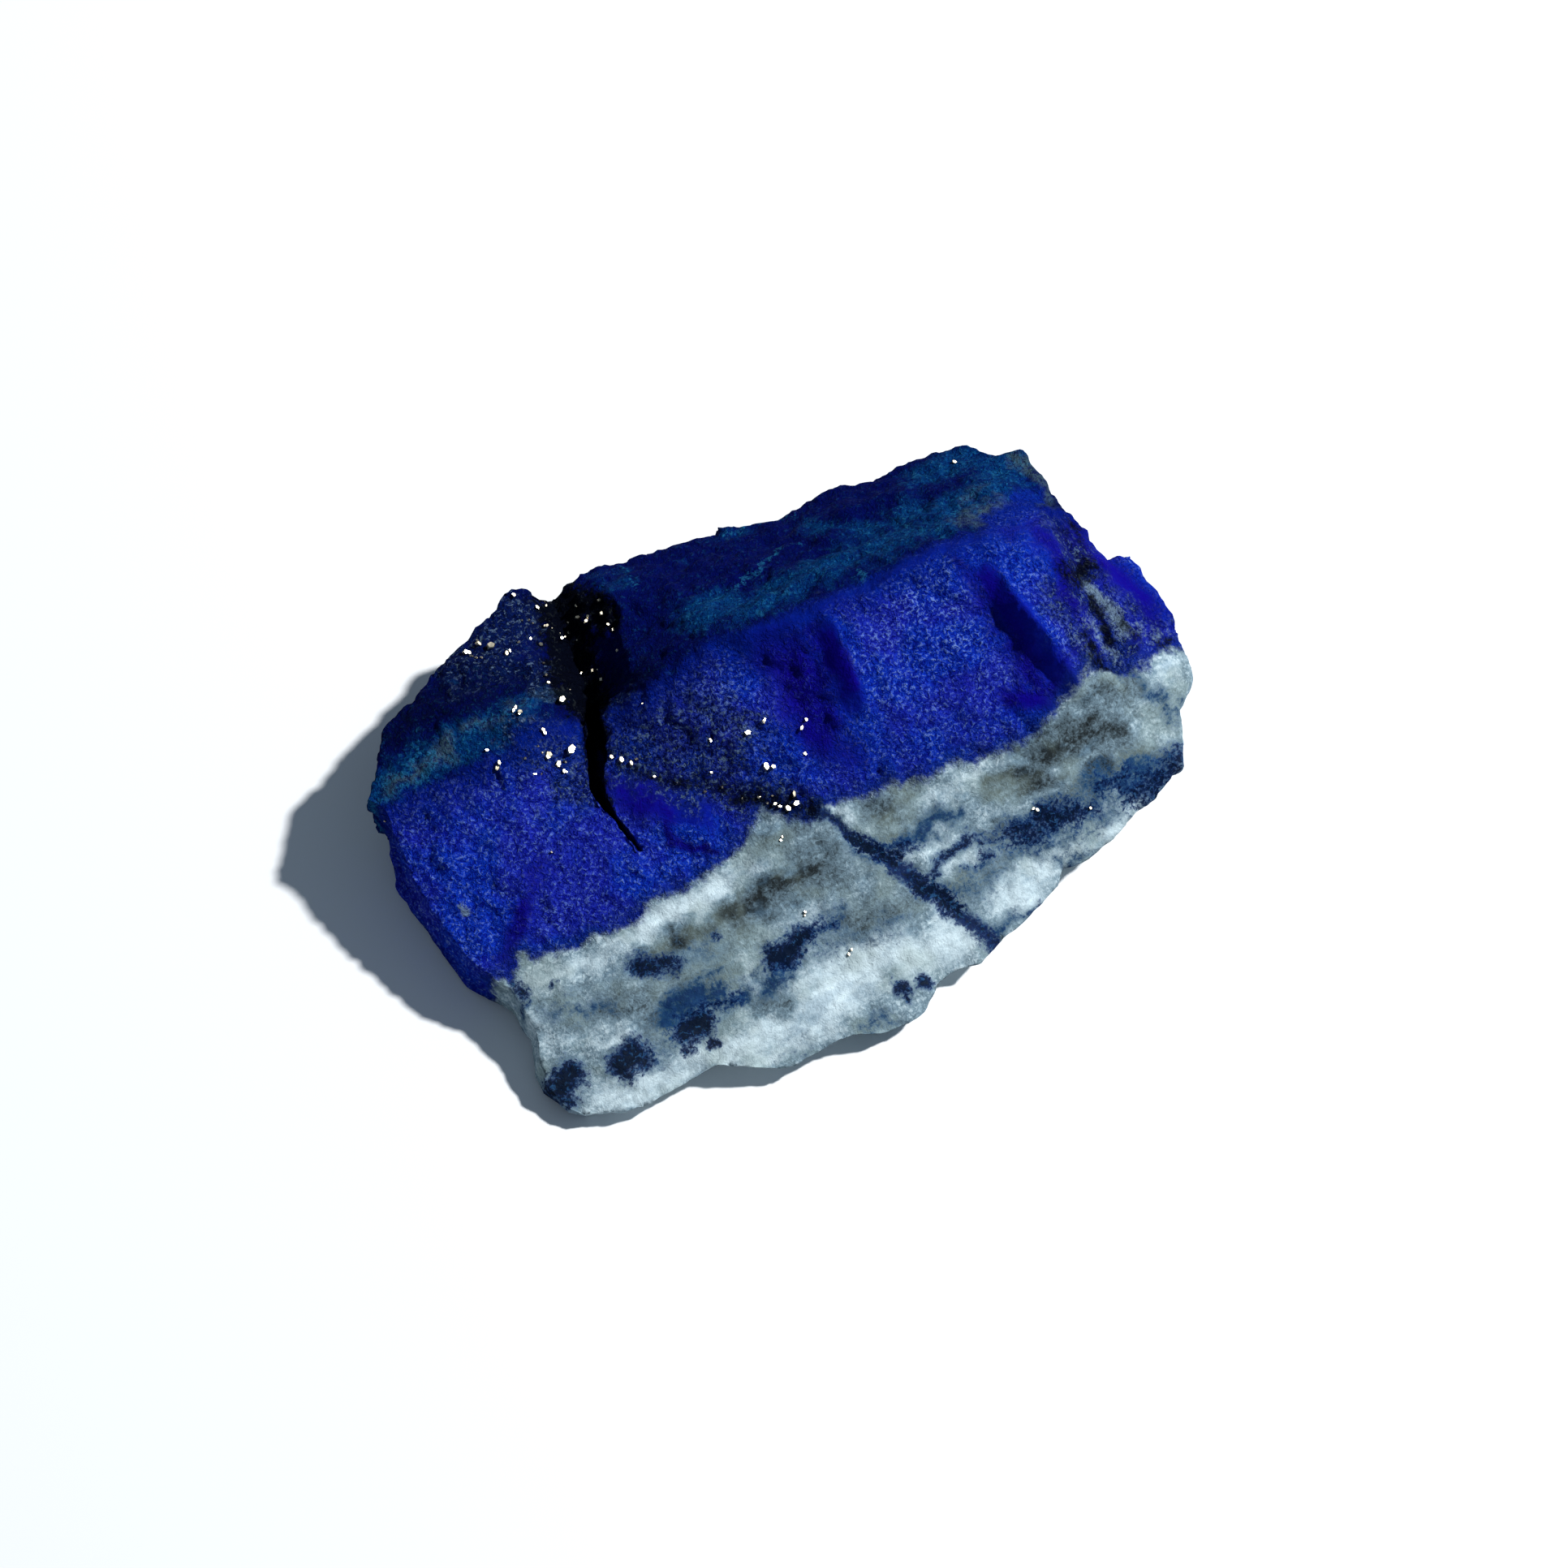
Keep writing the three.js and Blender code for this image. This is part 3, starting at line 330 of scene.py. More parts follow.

# Painted shade: strokes that darken the step faces and hollows, the edge of the flake's step and faces
# turned from the key light.
SHADED = [
    (0.35, 1.0, [(-9.1, -1.0), (-9.3, -1.9), (-8.3, -3.0), (-7.4, -3.8)]),
    (1.4, 0.6, [(-10.4, 1.6), (-9.4, 0.2), (-8.6, -0.8)]),
    (1.1, 0.9, [(-20.6, -3.6), (-20.0, -3.0), (-19.2, -2.2), (-18.6, -1.6)]),
    (1.0, 0.5, [(-18.6, -1.6), (-17.2, -0.4), (-16.4, 0.0)]),
    (3.0, 0.8, [(-21.5, 11.4), (-18.0, 11.6), (-14.5, 11.4)]),
    (2.4, 0.5, [(-8.0, 9.0), (-7.2, 7.4), (-6.0, 7.0)]),
    (0.7, 0.6, [(-9.0, 6.6), (-6.6, 6.4), (-4.4, 6.2)]),
    (1.8, 0.8, [(-16.0, 10.4), (-13.8, 9.9), (-12.6, 10.4)]),
    (2.5, 1.1, [(0.8, 4.2), (1.4, 3.2), (1.6, 1.8), (1.3, 0.4), (1.4, -0.8)]),
    (1.1, 1.1, [(3.2, 3.8), (3.6, 2.6), (3.6, 1.2), (3.6, 0.4)]),
    (1.6, 0.5, [(0.8, -0.4), (1.6, -1.8), (2.6, -3.0)]),
    (1.2, 0.6, [(13.0, 2.6), (13.2, 1.2), (13.2, -0.6)]),
    (0.9, 0.6, [(12.6, 3.6), (13.4, 2.6), (14.0, 1.6)]),
    (1.3, 0.8, [(14.0, 2.0), (13.9, -0.6), (14.0, -2.4), (14.2, -4.2)]),
    (1.1, 1.0, [(12.2, -4.0), (13.4, -4.6), (14.6, -5.0)]),
    (1.0, 0.6, [(17.0, -3.6), (18.0, -4.2), (18.6, -3.4)]),
    (0.8, 0.5, [(20.4, -4.4), (21.2, -3.6), (21.0, -2.6)]),
    (2.2, 0.8, [(22.0, 1.4), (22.6, 0.2), (23.2, -1.2), (23.2, -2.6)]),
    (2.0, 1.1, [(21.4, 5.8), (21.0, 4.0), (20.8, 2.4)]),
    (1.8, 0.8, [(18.6, 3.4), (18.6, 1.2), (18.2, -0.8)]),
    (1.4, 0.5, [(16.4, 3.6), (17.6, 4.6), (19.2, 4.6)]),
    (0.5, 0.6, [(17.6, -0.4), (18.2, -1.6), (18.4, -2.6)]),
    (0.45, 0.5, [(9.4, -3.4), (10.4, -2.6), (10.8, -1.6)]),
    (0.4, 0.5, [(-16.6, -0.2), (-15.8, -0.6)]),
    (0.5, 0.6, [(-5.6, 2.6), (-4.4, 1.8), (-4.0, 0.4)]),
]

PALE_STREAK = [
    (1.1, 0.95, [(19.9, 0.2), (20.4, -0.8), (20.6, -2.2), (20.6, -3.0)]),
    (0.9, 0.7, [(18.8, -2.0), (19.0, -3.2), (19.4, -4.4)]),
    (1.1, 0.5, [(21.6, -3.0), (22.6, -3.8), (23.4, -3.8)]),
    (1.0, 0.5, [(17.0, -2.8), (17.8, -3.8)]),
    (0.3, 1.3, [(-21.8, 0.1), (-21.7, -0.3)]),
]

# Every marking that the stone's finish reads, by the name of its mesh attribute, with how far
# its outlines wander in millimetres, and the size of their wandering.
MARKINGS = {
    "white": (WHITE, 0.6),
    "grey": (GREY, 0.8),
    "stain": (STAIN, 0.7),
    "spot": (SPOT, 0.38),
    "vein": (VEIN, 0.3),
    "teal": (TEAL, 1.0),
    "olive": (OLIVE, 0.8),
    "wisp": (WISP, 0.4),
    "ore_and_shadow": (ORE_AND_SHADOW, 0.15),
    "speckled": (SPECKLED, 0.8),
    "dusty": (DUSTY, 0.8),
    "smooth": (SMOOTH, 0.3),
    "sky": (SKY_BLUE, 0.8),
    "shaded": (SHADED, 0.5),
    "streak": (PALE_STREAK, 0.3),
}
WANDER_SIZE = 1.3
EDGE_WANDER = 0.3  # how far the edges of the calcite and of the weathered back wander

# Pyrite crystals that show well, as (x, y, size), and the strokes where fine ones lie thick.
BRIGHT_CRYSTALS = [
    (-10.7, 16.8, 0.36), (-9.6, 15.7, 0.42), (-9.0, 15.5, 0.30), (-9.8, 14.1, 0.36),
    (-8.4, 13.9, 0.42), (-6.5, 12.9, 0.48), (-6.4, 11.6, 0.42), (-7.4, 13.1, 0.30),
    (-11.1, 13.5, 0.36), (-10.7, 13.1, 0.42), (-9.0, 13.2, 0.24), (-14.8, 14.2, 0.42),
    (-13.6, 13.7, 0.66), (-12.6, 12.6, 0.36), (-8.7, 10.6, 0.36), (-8.3, 10.0, 0.48),
    (-11.0, 9.7, 0.42), (-10.9, 8.6, 0.48), (-14.2, 8.6, 0.36), (-13.9, 8.0, 0.36),
    (-16.6, 7.3, 0.36), (-16.3, 6.2, 0.42), (-13.9, 5.4, 0.60), (-13.5, 4.7, 0.42),
    (-13.2, 6.6, 0.36), (-12.0, 5.5, 0.72), (-10.3, 3.5, 0.48), (-9.5, 2.9, 0.48),
    (-8.6, 1.3, 0.36), (-13.0, 4.1, 0.30), (-14.8, 4.7, 0.24), (-7.3, 5.4, 0.30),
    (-23.5, 7.1, 0.30), (-15.7, 0.5, 0.30), (1.0, 0.0, 0.42), (0.6, -0.4, 0.72),
    (-1.4, 0.8, 0.42), (-2.7, 1.0, 0.42), (-4.7, 1.4, 0.36), (-0.2, -1.7, 0.30),
    (-2.4, -1.3, 0.60), (-5.5, 0.0, 0.24), (-2.0, -3.5, 0.66), (-2.7, -3.2, 0.36),
    (-2.3, -3.8, 0.48), (-3.3, -5.0, 0.24), (-3.8, -9.3, 0.24), (-2.6, -12.3, 0.30),
    (11.1, -9.5, 0.36), (14.6, -10.6, 0.30), (17.8, 12.6, 0.36),
]

CRYSTAL_BEDS = [
    ([(-8.2, 15.0), (-7.6, 13.4), (-7.8, 11.4), (-8.8, 9.6), (-9.8, 8.0)], 1.8, 12),
    ([(-10.8, 16.2), (-10.9, 13.6), (-11.2, 11.2), (-11.2, 9.2)], 0.9, 7),
    ([(-15.0, 14.0), (-13.2, 13.6)], 0.8, 5),
    ([(-15.4, 5.8), (-13.4, 5.2), (-12.4, 3.6)], 1.1, 6),
    ([(-10.0, 3.2), (-7.5, 0.6), (-4.0, -1.9), (-1.8, -3.6)], 0.7, 8),
]


# ---------------------------------------------------------------------------------------------
# Settings that a user would change.


def colour(name, description, red, green, blue):
    """A colour setting, stated as it looks on a screen, from 0 to 255."""

    def linear(value):
        v = value / 255
        return v / 12.92 if v <= 0.04045 else ((v + 0.055) / 1.055) ** 2.4

    return bpy.props.FloatVectorProperty(
        name=name,
        description=description,
        subtype="COLOR",
        size=3,
        min=0,
        max=1,
        default=(linear(red), linear(green), linear(blue)),
    )


def length(name, description, millimetres):
    return bpy.props.FloatProperty(
        name=name,
        description=description,
        default=millimetres * MM,
        min=0,
        unit="LENGTH",
        precision=5,
    )


class LapisStoneSettings(bpy.types.PropertyGroup):
    sharp_edge: bpy.props.FloatProperty(
        name="Sharp edge",
        description="Edges that turn by more than this stay crisp",
        subtype="ANGLE",
        default=math.radians(30),
    )
    seed: bpy.props.IntProperty(
        name="Seed",
        description="Changes how the outlines of the markings wander",
        default=3,
        min=1,
    )
    hackle: length("Hackle", "Relief of the broken faces", 0.6)
    crumbs: length("Crumbs", "Relief of the finer crumbs on the broken faces", 0.16)
    ledges: length("Ledges", "Relief of the long ledges on the weathered back", 0.5)
    grain: length("Grain", "Width of the sugary grains", 0.23)
    violet_blue: colour("Violet blue", "Fresh lazurite, violet side", 27, 41, 159)
    pure_blue: colour("Pure blue", "Fresh lazurite, pure side", 11, 48, 166)
    deep_blue: colour("Deep blue", "Lazurite grains that lie dark", 6, 14, 120)
    clean_blue: colour("Clean blue", "Smooth faces without dust", 6, 8, 122)
    # Partly painted glints: the pale flecks stand in for grain facets catching the light, and partly
    # pale dust.
    sky_blue: colour("Sky blue", "Lighter patches of lazurite", 7, 50, 162)
    dust_and_glint: colour("Dust", "Pale flecks on the grains", 98, 124, 190)
    rind: colour("Rind", "Blue next to the calcite", 12, 36, 84)
    crest: colour("Crest", "Blue towards the weathered back", 0, 22, 106)
    slate: colour("Slate", "Dull blue-grey among the pyrite", 8, 24, 70)
    speckle: colour("Speckle", "Grey grains among the blue", 84, 106, 132)
    navy: colour("Navy", "Weathered blue", 2, 10, 76)
    # Painted shade: the colour laid under the shaded strokes on the weathered back.
    painted_shade_black_blue: colour("Black blue", "Darkest weathered blue", 3, 8, 34)
    teal: colour("Teal", "Weathered blue-green", 3, 54, 106)
    olive: colour("Olive", "Weathered grey-green", 64, 86, 94)
    wisp: colour("Wisp", "Pale threads and flecks on the weathered faces", 28, 94, 134)
    white: colour("White", "Whitest calcite", 204, 222, 228)
    pale_grey: colour("Pale grey", "Common calcite", 113, 136, 149)
    ivory: colour("Ivory", "Warmer calcite", 128, 145, 140)
    charcoal: colour("Charcoal", "Darkest bands of the calcite", 34, 40, 42)
    halo: colour("Halo", "Blue cloud round a spot", 36, 76, 118)
    spot: colour("Spot", "Dark blue spots in the calcite", 8, 28, 76)
    # Painted shade: the dark violet laid under the shaded strokes on the fresh blue.
    painted_shade_indigo: colour("Indigo", "Fresh lazurite on the steep faces", 12, 0, 114)
    wash: colour("Wash", "Faint blue cast of the calcite", 96, 128, 152)
    stain: colour("Stain", "Teal stain in the calcite", 16, 58, 92)
    # Also the painted shadow in the pits and the crack.
    ore_and_shadow: colour("Ore", "Dark matrix round the pyrite", 3, 5, 9)
    crumb: colour("Crumb", "Dull grains in the dark matrix", 46, 52, 52)


class LapisPyriteSettings(bpy.types.PropertyGroup):
    fine_size: length("Fine size", "Width of the fine crystals", 0.2)
    sunk: bpy.props.FloatProperty(
        name="Sunk",
        description="Share of a crystal's width that is set in the stone",
        subtype="FACTOR",
        default=0.3,
    )
    lean: bpy.props.FloatProperty(
        name="Lean",
        description="How unevenly the bright crystals face the light",
        subtype="ANGLE",
        default=math.radians(4),
    )
    seed: bpy.props.IntProperty(
        name="Seed",
        description="Changes how the crystals are scattered and turned",
        default=5,
    )
    tarnish: colour("Tarnish", "Dull parts of the crystals", 76, 70, 66)
    brass: colour("Brass", "Colour of the crystals", 206, 196, 172)


class LapisStageSettings(bpy.types.PropertyGroup):
    floor_size: bpy.props.FloatProperty(
        name="Floor size", description="Width of the floor", default=3.0, unit="LENGTH"
    )
    floor_colour: colour("Floor colour", "Plain pale floor", 240, 242, 243)
    key_power: bpy.props.FloatProperty(
        name="Key power", description="Power of the key light", default=9.6, unit="POWER"
    )
    key_size: bpy.props.FloatProperty(
        name="Key size", description="Width of the key light", default=0.05, unit="LENGTH"
    )
    fill: bpy.props.FloatProperty(
        name="Fill", description="Strength of the even light all round", default=0.2
    )
    fill_colour: bpy.props.FloatVectorProperty(
        name="Fill colour",
        description="Colour of the even light all round",
        subtype="COLOR",
        size=3,
        min=0,
        max=1,
        default=(0.6, 0.78, 1.0),
    )


# ---------------------------------------------------------------------------------------------
# Shader maths.


class Value:
    """A number that varies over a surface. Arithmetic on it adds Math nodes."""

    def __init__(self, shader, socket):
        self.shader = shader
        self.socket = socket

    def math(self, operation, *terms):
        return self.shader.add("ShaderNodeMath", {"operation": operation}, dict(enumerate(terms)))

    def __add__(self, other):
        return self.math("ADD", self, other)

    __radd__ = __add__

    def __sub__(self, other):
        return self.math("SUBTRACT", self, other)

    def __rsub__(self, other):
        return self.math("SUBTRACT", other, self)

    def __mul__(self, other):
        return self.math("MULTIPLY", self, other)

    __rmul__ = __mul__

    def above(self, low, high):
        """0 below low, 1 above high, and smooth between them."""
        settings = {"interpolation_type": "SMOOTHSTEP"}
        return self.shader.add(
            "ShaderNodeMapRange", settings, {"Value": self, "From Min": low, "From Max": high}
        )


class Shader:
    """The nodes of one material, with places measured in millimetres."""

    def __init__(self, name):
        self.material = bpy.data.materials.new(name)
        self.material.use_nodes = True
        self.tree = self.material.node_tree
        self.surface = self.tree.nodes["Principled BSDF"]
        place = self.add("ShaderNodeTexCoord", {}, {}, "Object")
        self.place = self.add(
            "ShaderNodeVectorMath", {"operation": "SCALE"}, {0: place, "Scale": 1 / MM}
        )

    def connect(self, socket, value):
        if isinstance(value, Value):
            self.tree.links.new(value.socket, socket)
        else:
            socket.default_value = value

    def add(self, kind, settings, inputs, output=0):
        """A node of any kind: its settings are set first, then its sockets' values or links."""
        node = self.tree.nodes.new(kind)
        for key, value in settings.items():
            setattr(node, key, value)
        for key, value in inputs.items():
            self.connect(node.inputs[key], value)
        return Value(self, node.outputs[output])

    def attribute(self, name):
        return self.add("ShaderNodeAttribute", {"attribute_name": name}, {}, "Fac")

    def stretched(self, x, y, z):
        """Places for a pattern that is drawn out: a factor under 1 lengthens it along that axis."""
        return self.add(
            "ShaderNodeVectorMath", {"operation": "MULTIPLY"}, {0: self.place, 1: (x, y, z)}
        )

    def noise(self, size, detail, place=None, rough=0.5):
        """Cloudy noise round 0.5, its largest blots about size across."""
        inputs = {"Vector": place or self.place, "Scale": 1 / size, "Detail": detail}
        return self.add("ShaderNodeTexNoise", {}, {**inputs, "Roughness": rough})

    def swirl(self, size, detail, place=None, rough=0.5):
        """Cloudy noise stretched to lie from about -1 to 1."""
        return 4 * (self.noise(size, detail, place, rough) - 0.5)

    def moved(self, shift):
        """The same places, shifted so that a second pattern doesn't follow the first."""
        return self.add("ShaderNodeVectorMath", {"operation": "ADD"}, {0: self.place, 1: (shift,) * 3})

    def frayed(self, name, fraying):
        """A marking whose strength varies by the fraying, which dies out with the marking."""
        strength = self.attribute(name)
        return strength + fraying * strength.above(0.0, 0.3)

    def grit(self, size, shift):
        """Small crinkled grains, from 0 to 1 round 0.5."""
        settings = {"Vector": self.moved(shift), "Scale": 1 / size}
        shape = {"Detail": 3.0, "Roughness": 0.65, "Distortion": 0.6}
        return self.add("ShaderNodeTexNoise", {}, {**settings, **shape})

    def mix(self, mask, base, other):
        """Colour base where the mask is 0, and colour other where it is 1."""
        inputs = {0: mask, 6: self.rgba(base), 7: self.rgba(other)}
        return self.add("ShaderNodeMix", {"data_type": "RGBA"}, inputs, 2)

    def rgba(self, value):
        return value if isinstance(value, Value) else (*value, 1)

    def bump(self, height):
        """Relief from a height in millimetres."""
        inputs = {"Strength": 1.0, "Distance": MM, "Height": height}
        return self.add("ShaderNodeBump", {}, inputs)


# ---------------------------------------------------------------------------------------------
# Modelling helpers.


def activate(*objects):
    """Leaves just these objects selected, the first of them active."""
    if bpy.context.object and bpy.context.object.mode != "OBJECT":
        bpy.ops.object.mode_set(mode="OBJECT")
    bpy.ops.object.select_all(action="DESELECT")
    for piece in objects:
        piece.select_set(True)
    bpy.context.view_layer.objects.active = objects[0]


def vertex_places(piece):
    """The vertices' places as an array, in millimetres."""
    places = np.empty(len(piece.data.vertices) * 3)
    piece.data.vertices.foreach_get("co", places)
    return places.reshape(-1, 3) / MM


def distance_to_line(plan, line):
    """How far each plan place lies from a line of points."""
    nearest = np.full(len(plan), np.inf)
    for start, end in zip(line, line[1:]):
        start = np.array(start)
        along = np.array(end) - start
        share = np.clip((plan - start) @ along / (along @ along), 0, 1)
        gap = np.linalg.norm(plan - start - share[:, None] * along, axis=1)
        nearest = np.minimum(nearest, gap)
    return nearest


def behind_edge(plan, edge):
    """Distance from an edge line, positive behind it (+Y) and negative in front of it."""
    xs, ys = np.array(edge).T
    side = np.where(plan[:, 1] > np.interp(plan[:, 0], xs, ys), 1.0, -1.0)
    return side * distance_to_line(plan, edge)


def stroke_strength(plan, strokes):
    """How strongly strokes mark each plan place: most on a stroke's line, none past its reach."""
    strongest = np.zeros(len(plan))
    for reach, strength, line in strokes:
        fade = np.clip(1 - distance_to_line(plan, line) / reach, 0, 1)
        strongest = np.maximum(strongest, strength * fade)
    return strongest


def wandering(places, reach):
    """Plan places pushed about by noise, so that what is painted by them has ragged outlines."""
    pushes = [noise.turbulence_vector(Vector(place) / WANDER_SIZE, 3, False) for place in places]
    return places[:, :2] + reach * np.array(pushes)[:, :2]


def paint(piece, name, values):
    layer = piece.data.attributes.new(name, "FLOAT", "POINT")
    layer.data.foreach_set("value", values.astype(np.float32))


def weigh(piece, name, weights):
    """A vertex group with these weights, for a modifier to follow."""
    group = piece.vertex_groups.new(name=name)
    steps = 20
    levels = np.round(np.clip(weights, 0, 1) * steps).astype(int)
    for level in range(1, steps + 1):
        members = np.flatnonzero(levels == level).tolist()
        if members:
            group.add(members, level / steps, "REPLACE")


def displace(piece, texture, strength, group, guide=None):
    """Pushes the surface in and out along its normals by a texture."""
    activate(piece)
    bpy.ops.object.modifier_add(type="DISPLACE")
    modifier = piece.modifiers[-1]
    modifier.texture = texture
    modifier.strength = strength
    modifier.mid_level = 0.5
    modifier.vertex_group = group
    if guide:
        modifier.texture_coords = "OBJECT"
        modifier.texture_coords_object = guide
    bpy.ops.object.modifier_apply(modifier=modifier.name)


def clouds(name, size, kind):
    texture = bpy.data.textures.new(name, "CLOUDS")
    texture.noise_scale = size * MM
    texture.noise_depth = 3
    texture.noise_type = kind
    return texture


def cells(name, size):
    texture = bpy.data.textures.new(name, "VORONOI")
    texture.noise_scale = size * MM
    texture.distance_metric = "DISTANCE"
    return texture


def banding_guide():
    """A helper whose long axis draws a texture out along the banding."""
    bpy.ops.object.empty_add(location=(0, 0, 0))
    guide = bpy.context.object
    guide.scale = (LEDGE_STRETCH, 1, 1)
    bpy.context.view_layer.update()
    return guide


def light_direction():
    """From the stone to the key light."""
    turn = math.radians(KEY_TURN)
    rise = math.radians(KEY_RISE)
    return Vector((math.cos(rise) * math.cos(turn), math.cos(rise) * math.sin(turn), math.sin(rise)))


def camera_direction():
    """From the stone to the camera."""
    turn = math.radians(VIEW_TURN)
    rise = math.radians(VIEW_RISE)
    return Vector(
        (math.sin(turn) * math.cos(rise), -math.cos(turn) * math.cos(rise), math.sin(rise))
    )


# ---------------------------------------------------------------------------------------------
# The stone.


# How the solid's surface is made fine.
MERGE_DISTANCE = 0.002  # millimetres
CREASE = 0.4
CREASE_STEPS = (0.4, 0.7, 1)  # shares of the sharp angle, each of which adds a crease
SUBDIVISIONS = 2

# The relief that is too fine for the solid, with its sizes in millimetres.
HACKLE_SIZE = 1.6
CRUMB_SIZE = 0.9
LEDGE_SIZE = 1.3
LEDGE_STRETCH = 3.2  # how much longer a ledge is along the banding than across it
LEDGE_EASE = 1.5  # the ledges come in over this much behind the weathered edge
PIT_CRUMB_SIZE = 0.8
PIT_ROUGHNESS = 3  # relief of the pit's crumbs against those of the fresh faces
FOOT_CLEAR = 0.25  # the foot stays flat up to this height
FOOT_EASE = 0.8  # and the relief comes in over this much above it


def stone_mesh(settings):
    """The CAD solid's surface, made fine, with its sharp edges kept."""
    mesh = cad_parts[NODE].data.copy()
    mesh.materials.clear()
    stone = bpy.data.objects.new("lapis_stone", mesh)
    bpy.context.scene.collection.objects.link(stone)
    activate(stone)
    bpy.ops.mesh.customdata_custom_splitnormals_clear()
    bpy.ops.object.mode_set(mode="EDIT")
    bpy.ops.mesh.select_mode(type="EDGE")
    bpy.ops.mesh.select_all(action="SELECT")
    bpy.ops.mesh.remove_doubles(threshold=MERGE_DISTANCE * MM)
    for share in CREASE_STEPS:
        bpy.ops.mesh.select_all(action="DESELECT")
        bpy.ops.mesh.edges_select_sharp(sharpness=share * settings.sharp_edge)
        bpy.ops.transform.edge_crease(value=CREASE)
    bpy.ops.object.mode_set(mode="OBJECT")
    bpy.ops.object.modifier_add(type="SUBSURF")
    modifier = stone.modifiers[-1]
    modifier.levels = SUBDIVISIONS
    modifier.render_levels = SUBDIVISIONS
    bpy.ops.object.modifier_apply(modifier=modifier.name)
    return stone


def break_surface(stone, settings):
    """The relief that is too fine for the solid: hackle, crumbs, ledges and a ragged pit."""
    places = vertex_places(stone)
    plan = places[:, :2]
    clear = np.clip((places[:, 2] - FOOT_CLEAR) / FOOT_EASE, 0, 1)
    pale = np.clip(-behind_edge(plan, PALE_EDGE), 0, 1)
    weathered = np.clip(behind_edge(plan, WEATHERED_EDGE) / LEDGE_EASE, 0, 1)
    pit = np.clip(1.6 * stroke_strength(plan, ORE_AND_SHADOW[:PIT_STROKES]), 0, 1)
    rough = 1 - np.clip(1.3 * stroke_strength(plan, SMOOTH), 0, 1)
    weigh(stone, "rough", clear * (1 - 0.5 * pale) * (0.15 + 0.85 * rough))
    weigh(stone, "fresh", clear * (1 - 0.6 * pale) * rough)
    weigh(stone, "weathered", clear * weathered)
    weigh(stone, "pit", clear * pit)
    guide = banding_guide()
    hackle = clouds("hackle", HACKLE_SIZE, "HARD_NOISE")
    displace(stone, hackle, settings.hackle, "rough")
    displace(stone, cells("crumbs", CRUMB_SIZE), settings.crumbs, "fresh")
    ledges = clouds("ledges", LEDGE_SIZE, "SOFT_NOISE")
    displace(stone, ledges, settings.ledges, "weathered", guide)
    pit_crumbs = cells("pit crumbs", PIT_CRUMB_SIZE)
    displace(stone, pit_crumbs, PIT_ROUGHNESS * settings.crumbs, "pit")
    bpy.data.objects.remove(guide)
    stone.vertex_groups.clear()


def paint_minerals_and_shade(stone, settings):
    """Marks on the mesh where each mineral lies and where shade is painted, for the stone's finish to
    read.
    """
    noise.seed_set(settings.seed)
    places = vertex_places(stone)
    plan = wandering(places, EDGE_WANDER)
    paint(stone, "pale", -behind_edge(plan, PALE_EDGE))
    paint(stone, "weathered", behind_edge(plan, WEATHERED_EDGE))
    for name, (strokes, reach) in MARKINGS.items():
        paint(stone, name, stroke_strength(wandering(places, reach), strokes))


# Crinkled patterns: the size in millimetres, and a shift that keeps each from following another.
SPECKLES = (0.28, 5.0)
PALE_PATCHES = (0.7, 4.0)
DULL_CRUMBS = (0.34, 7.0)
SPOT_GRAINS = (0.3, 9.0)

# Belts that run along an edge line: where each starts and where it is full, as distances in
# millimetres from the line, negative on its fresh blue side.
RIND_BELT = (-1.3, 0.1)
CREST_BELT = (-3.2, 0.2)
BACK_BELT = (-0.5, 0.5)
PALE_BELT = (-0.25, 0.35)

# Heights in millimetres of the relief that is finer than the mesh.
SUGAR_RELIEF = 0.34
CRUMB_RELIEF = 0.06
VEIN_DEPTH = 0.1

STONE_SHEEN = 0.015  # nearly matt


def blue_rock(s, c, grit):
    """Fresh lazurite: sugary grains of several blues, clean in places and dusty in others, with
    painted glints and painted shade.
    """
    smooth = s.attribute("smooth").above(0.2, 0.8)
    dust_and_glint = (s.attribute("dusty") + 0.4 * s.swirl(1.4, 4.0)).above(0.0, 1.0)
    colour = s.mix(s.noise(4.0, 4.0).above(0.42, 0.58), c.violet_blue, c.pure_blue)
    sky = (s.attribute("sky") + 0.3 * s.swirl(0.7, 4.0)).above(0.1, 1.1)
    colour = s.mix(0.7 * sky, colour, c.sky_blue)
    colour = s.mix(0.85 * grit.above(0.54, 0.38) * (1 - 0.5 * smooth), colour, c.deep_blue)
    # Pale flecks: partly painted glints of grain facets catching the light, partly dust, thicker where
    # the rock is dusty.
    glint_and_dust_fleck = (grit + 0.04 * dust_and_glint).above(0.53, 0.7)
    glint_and_dust_fleck = glint_and_dust_fleck * (0.7 + 0.3 * dust_and_glint) * (1 - 0.8 * smooth)
    colour = s.mix(glint_and_dust_fleck, colour, c.dust_and_glint)
    colour = s.mix(0.75 * smooth * (1 - 0.6 * sky), colour, c.clean_blue)
    # Painted shade: the shaded strokes darken the blue towards indigo.
    shaded = s.frayed("shaded", 1.6 * (grit - 0.5))
    return s.mix(0.85 * shaded.above(0.1, 0.8), colour, c.painted_shade_indigo)


def speckled_rock(s, c, grit, base):
    """Grey and black grains mixed into the rock."""
    rich = s.frayed("speckled", 0.3 * s.swirl(0.7, 4.0)).above(0.1, 0.9)
    base = s.mix(0.6 * rich, base, c.slate)
    base = s.mix(0.65 * rich * grit.above(0.52, 0.4), base, c.ore_and_shadow)
    return s.mix(0.8 * rich * s.grit(*SPECKLES).above(0.53, 0.66), base, c.speckle)


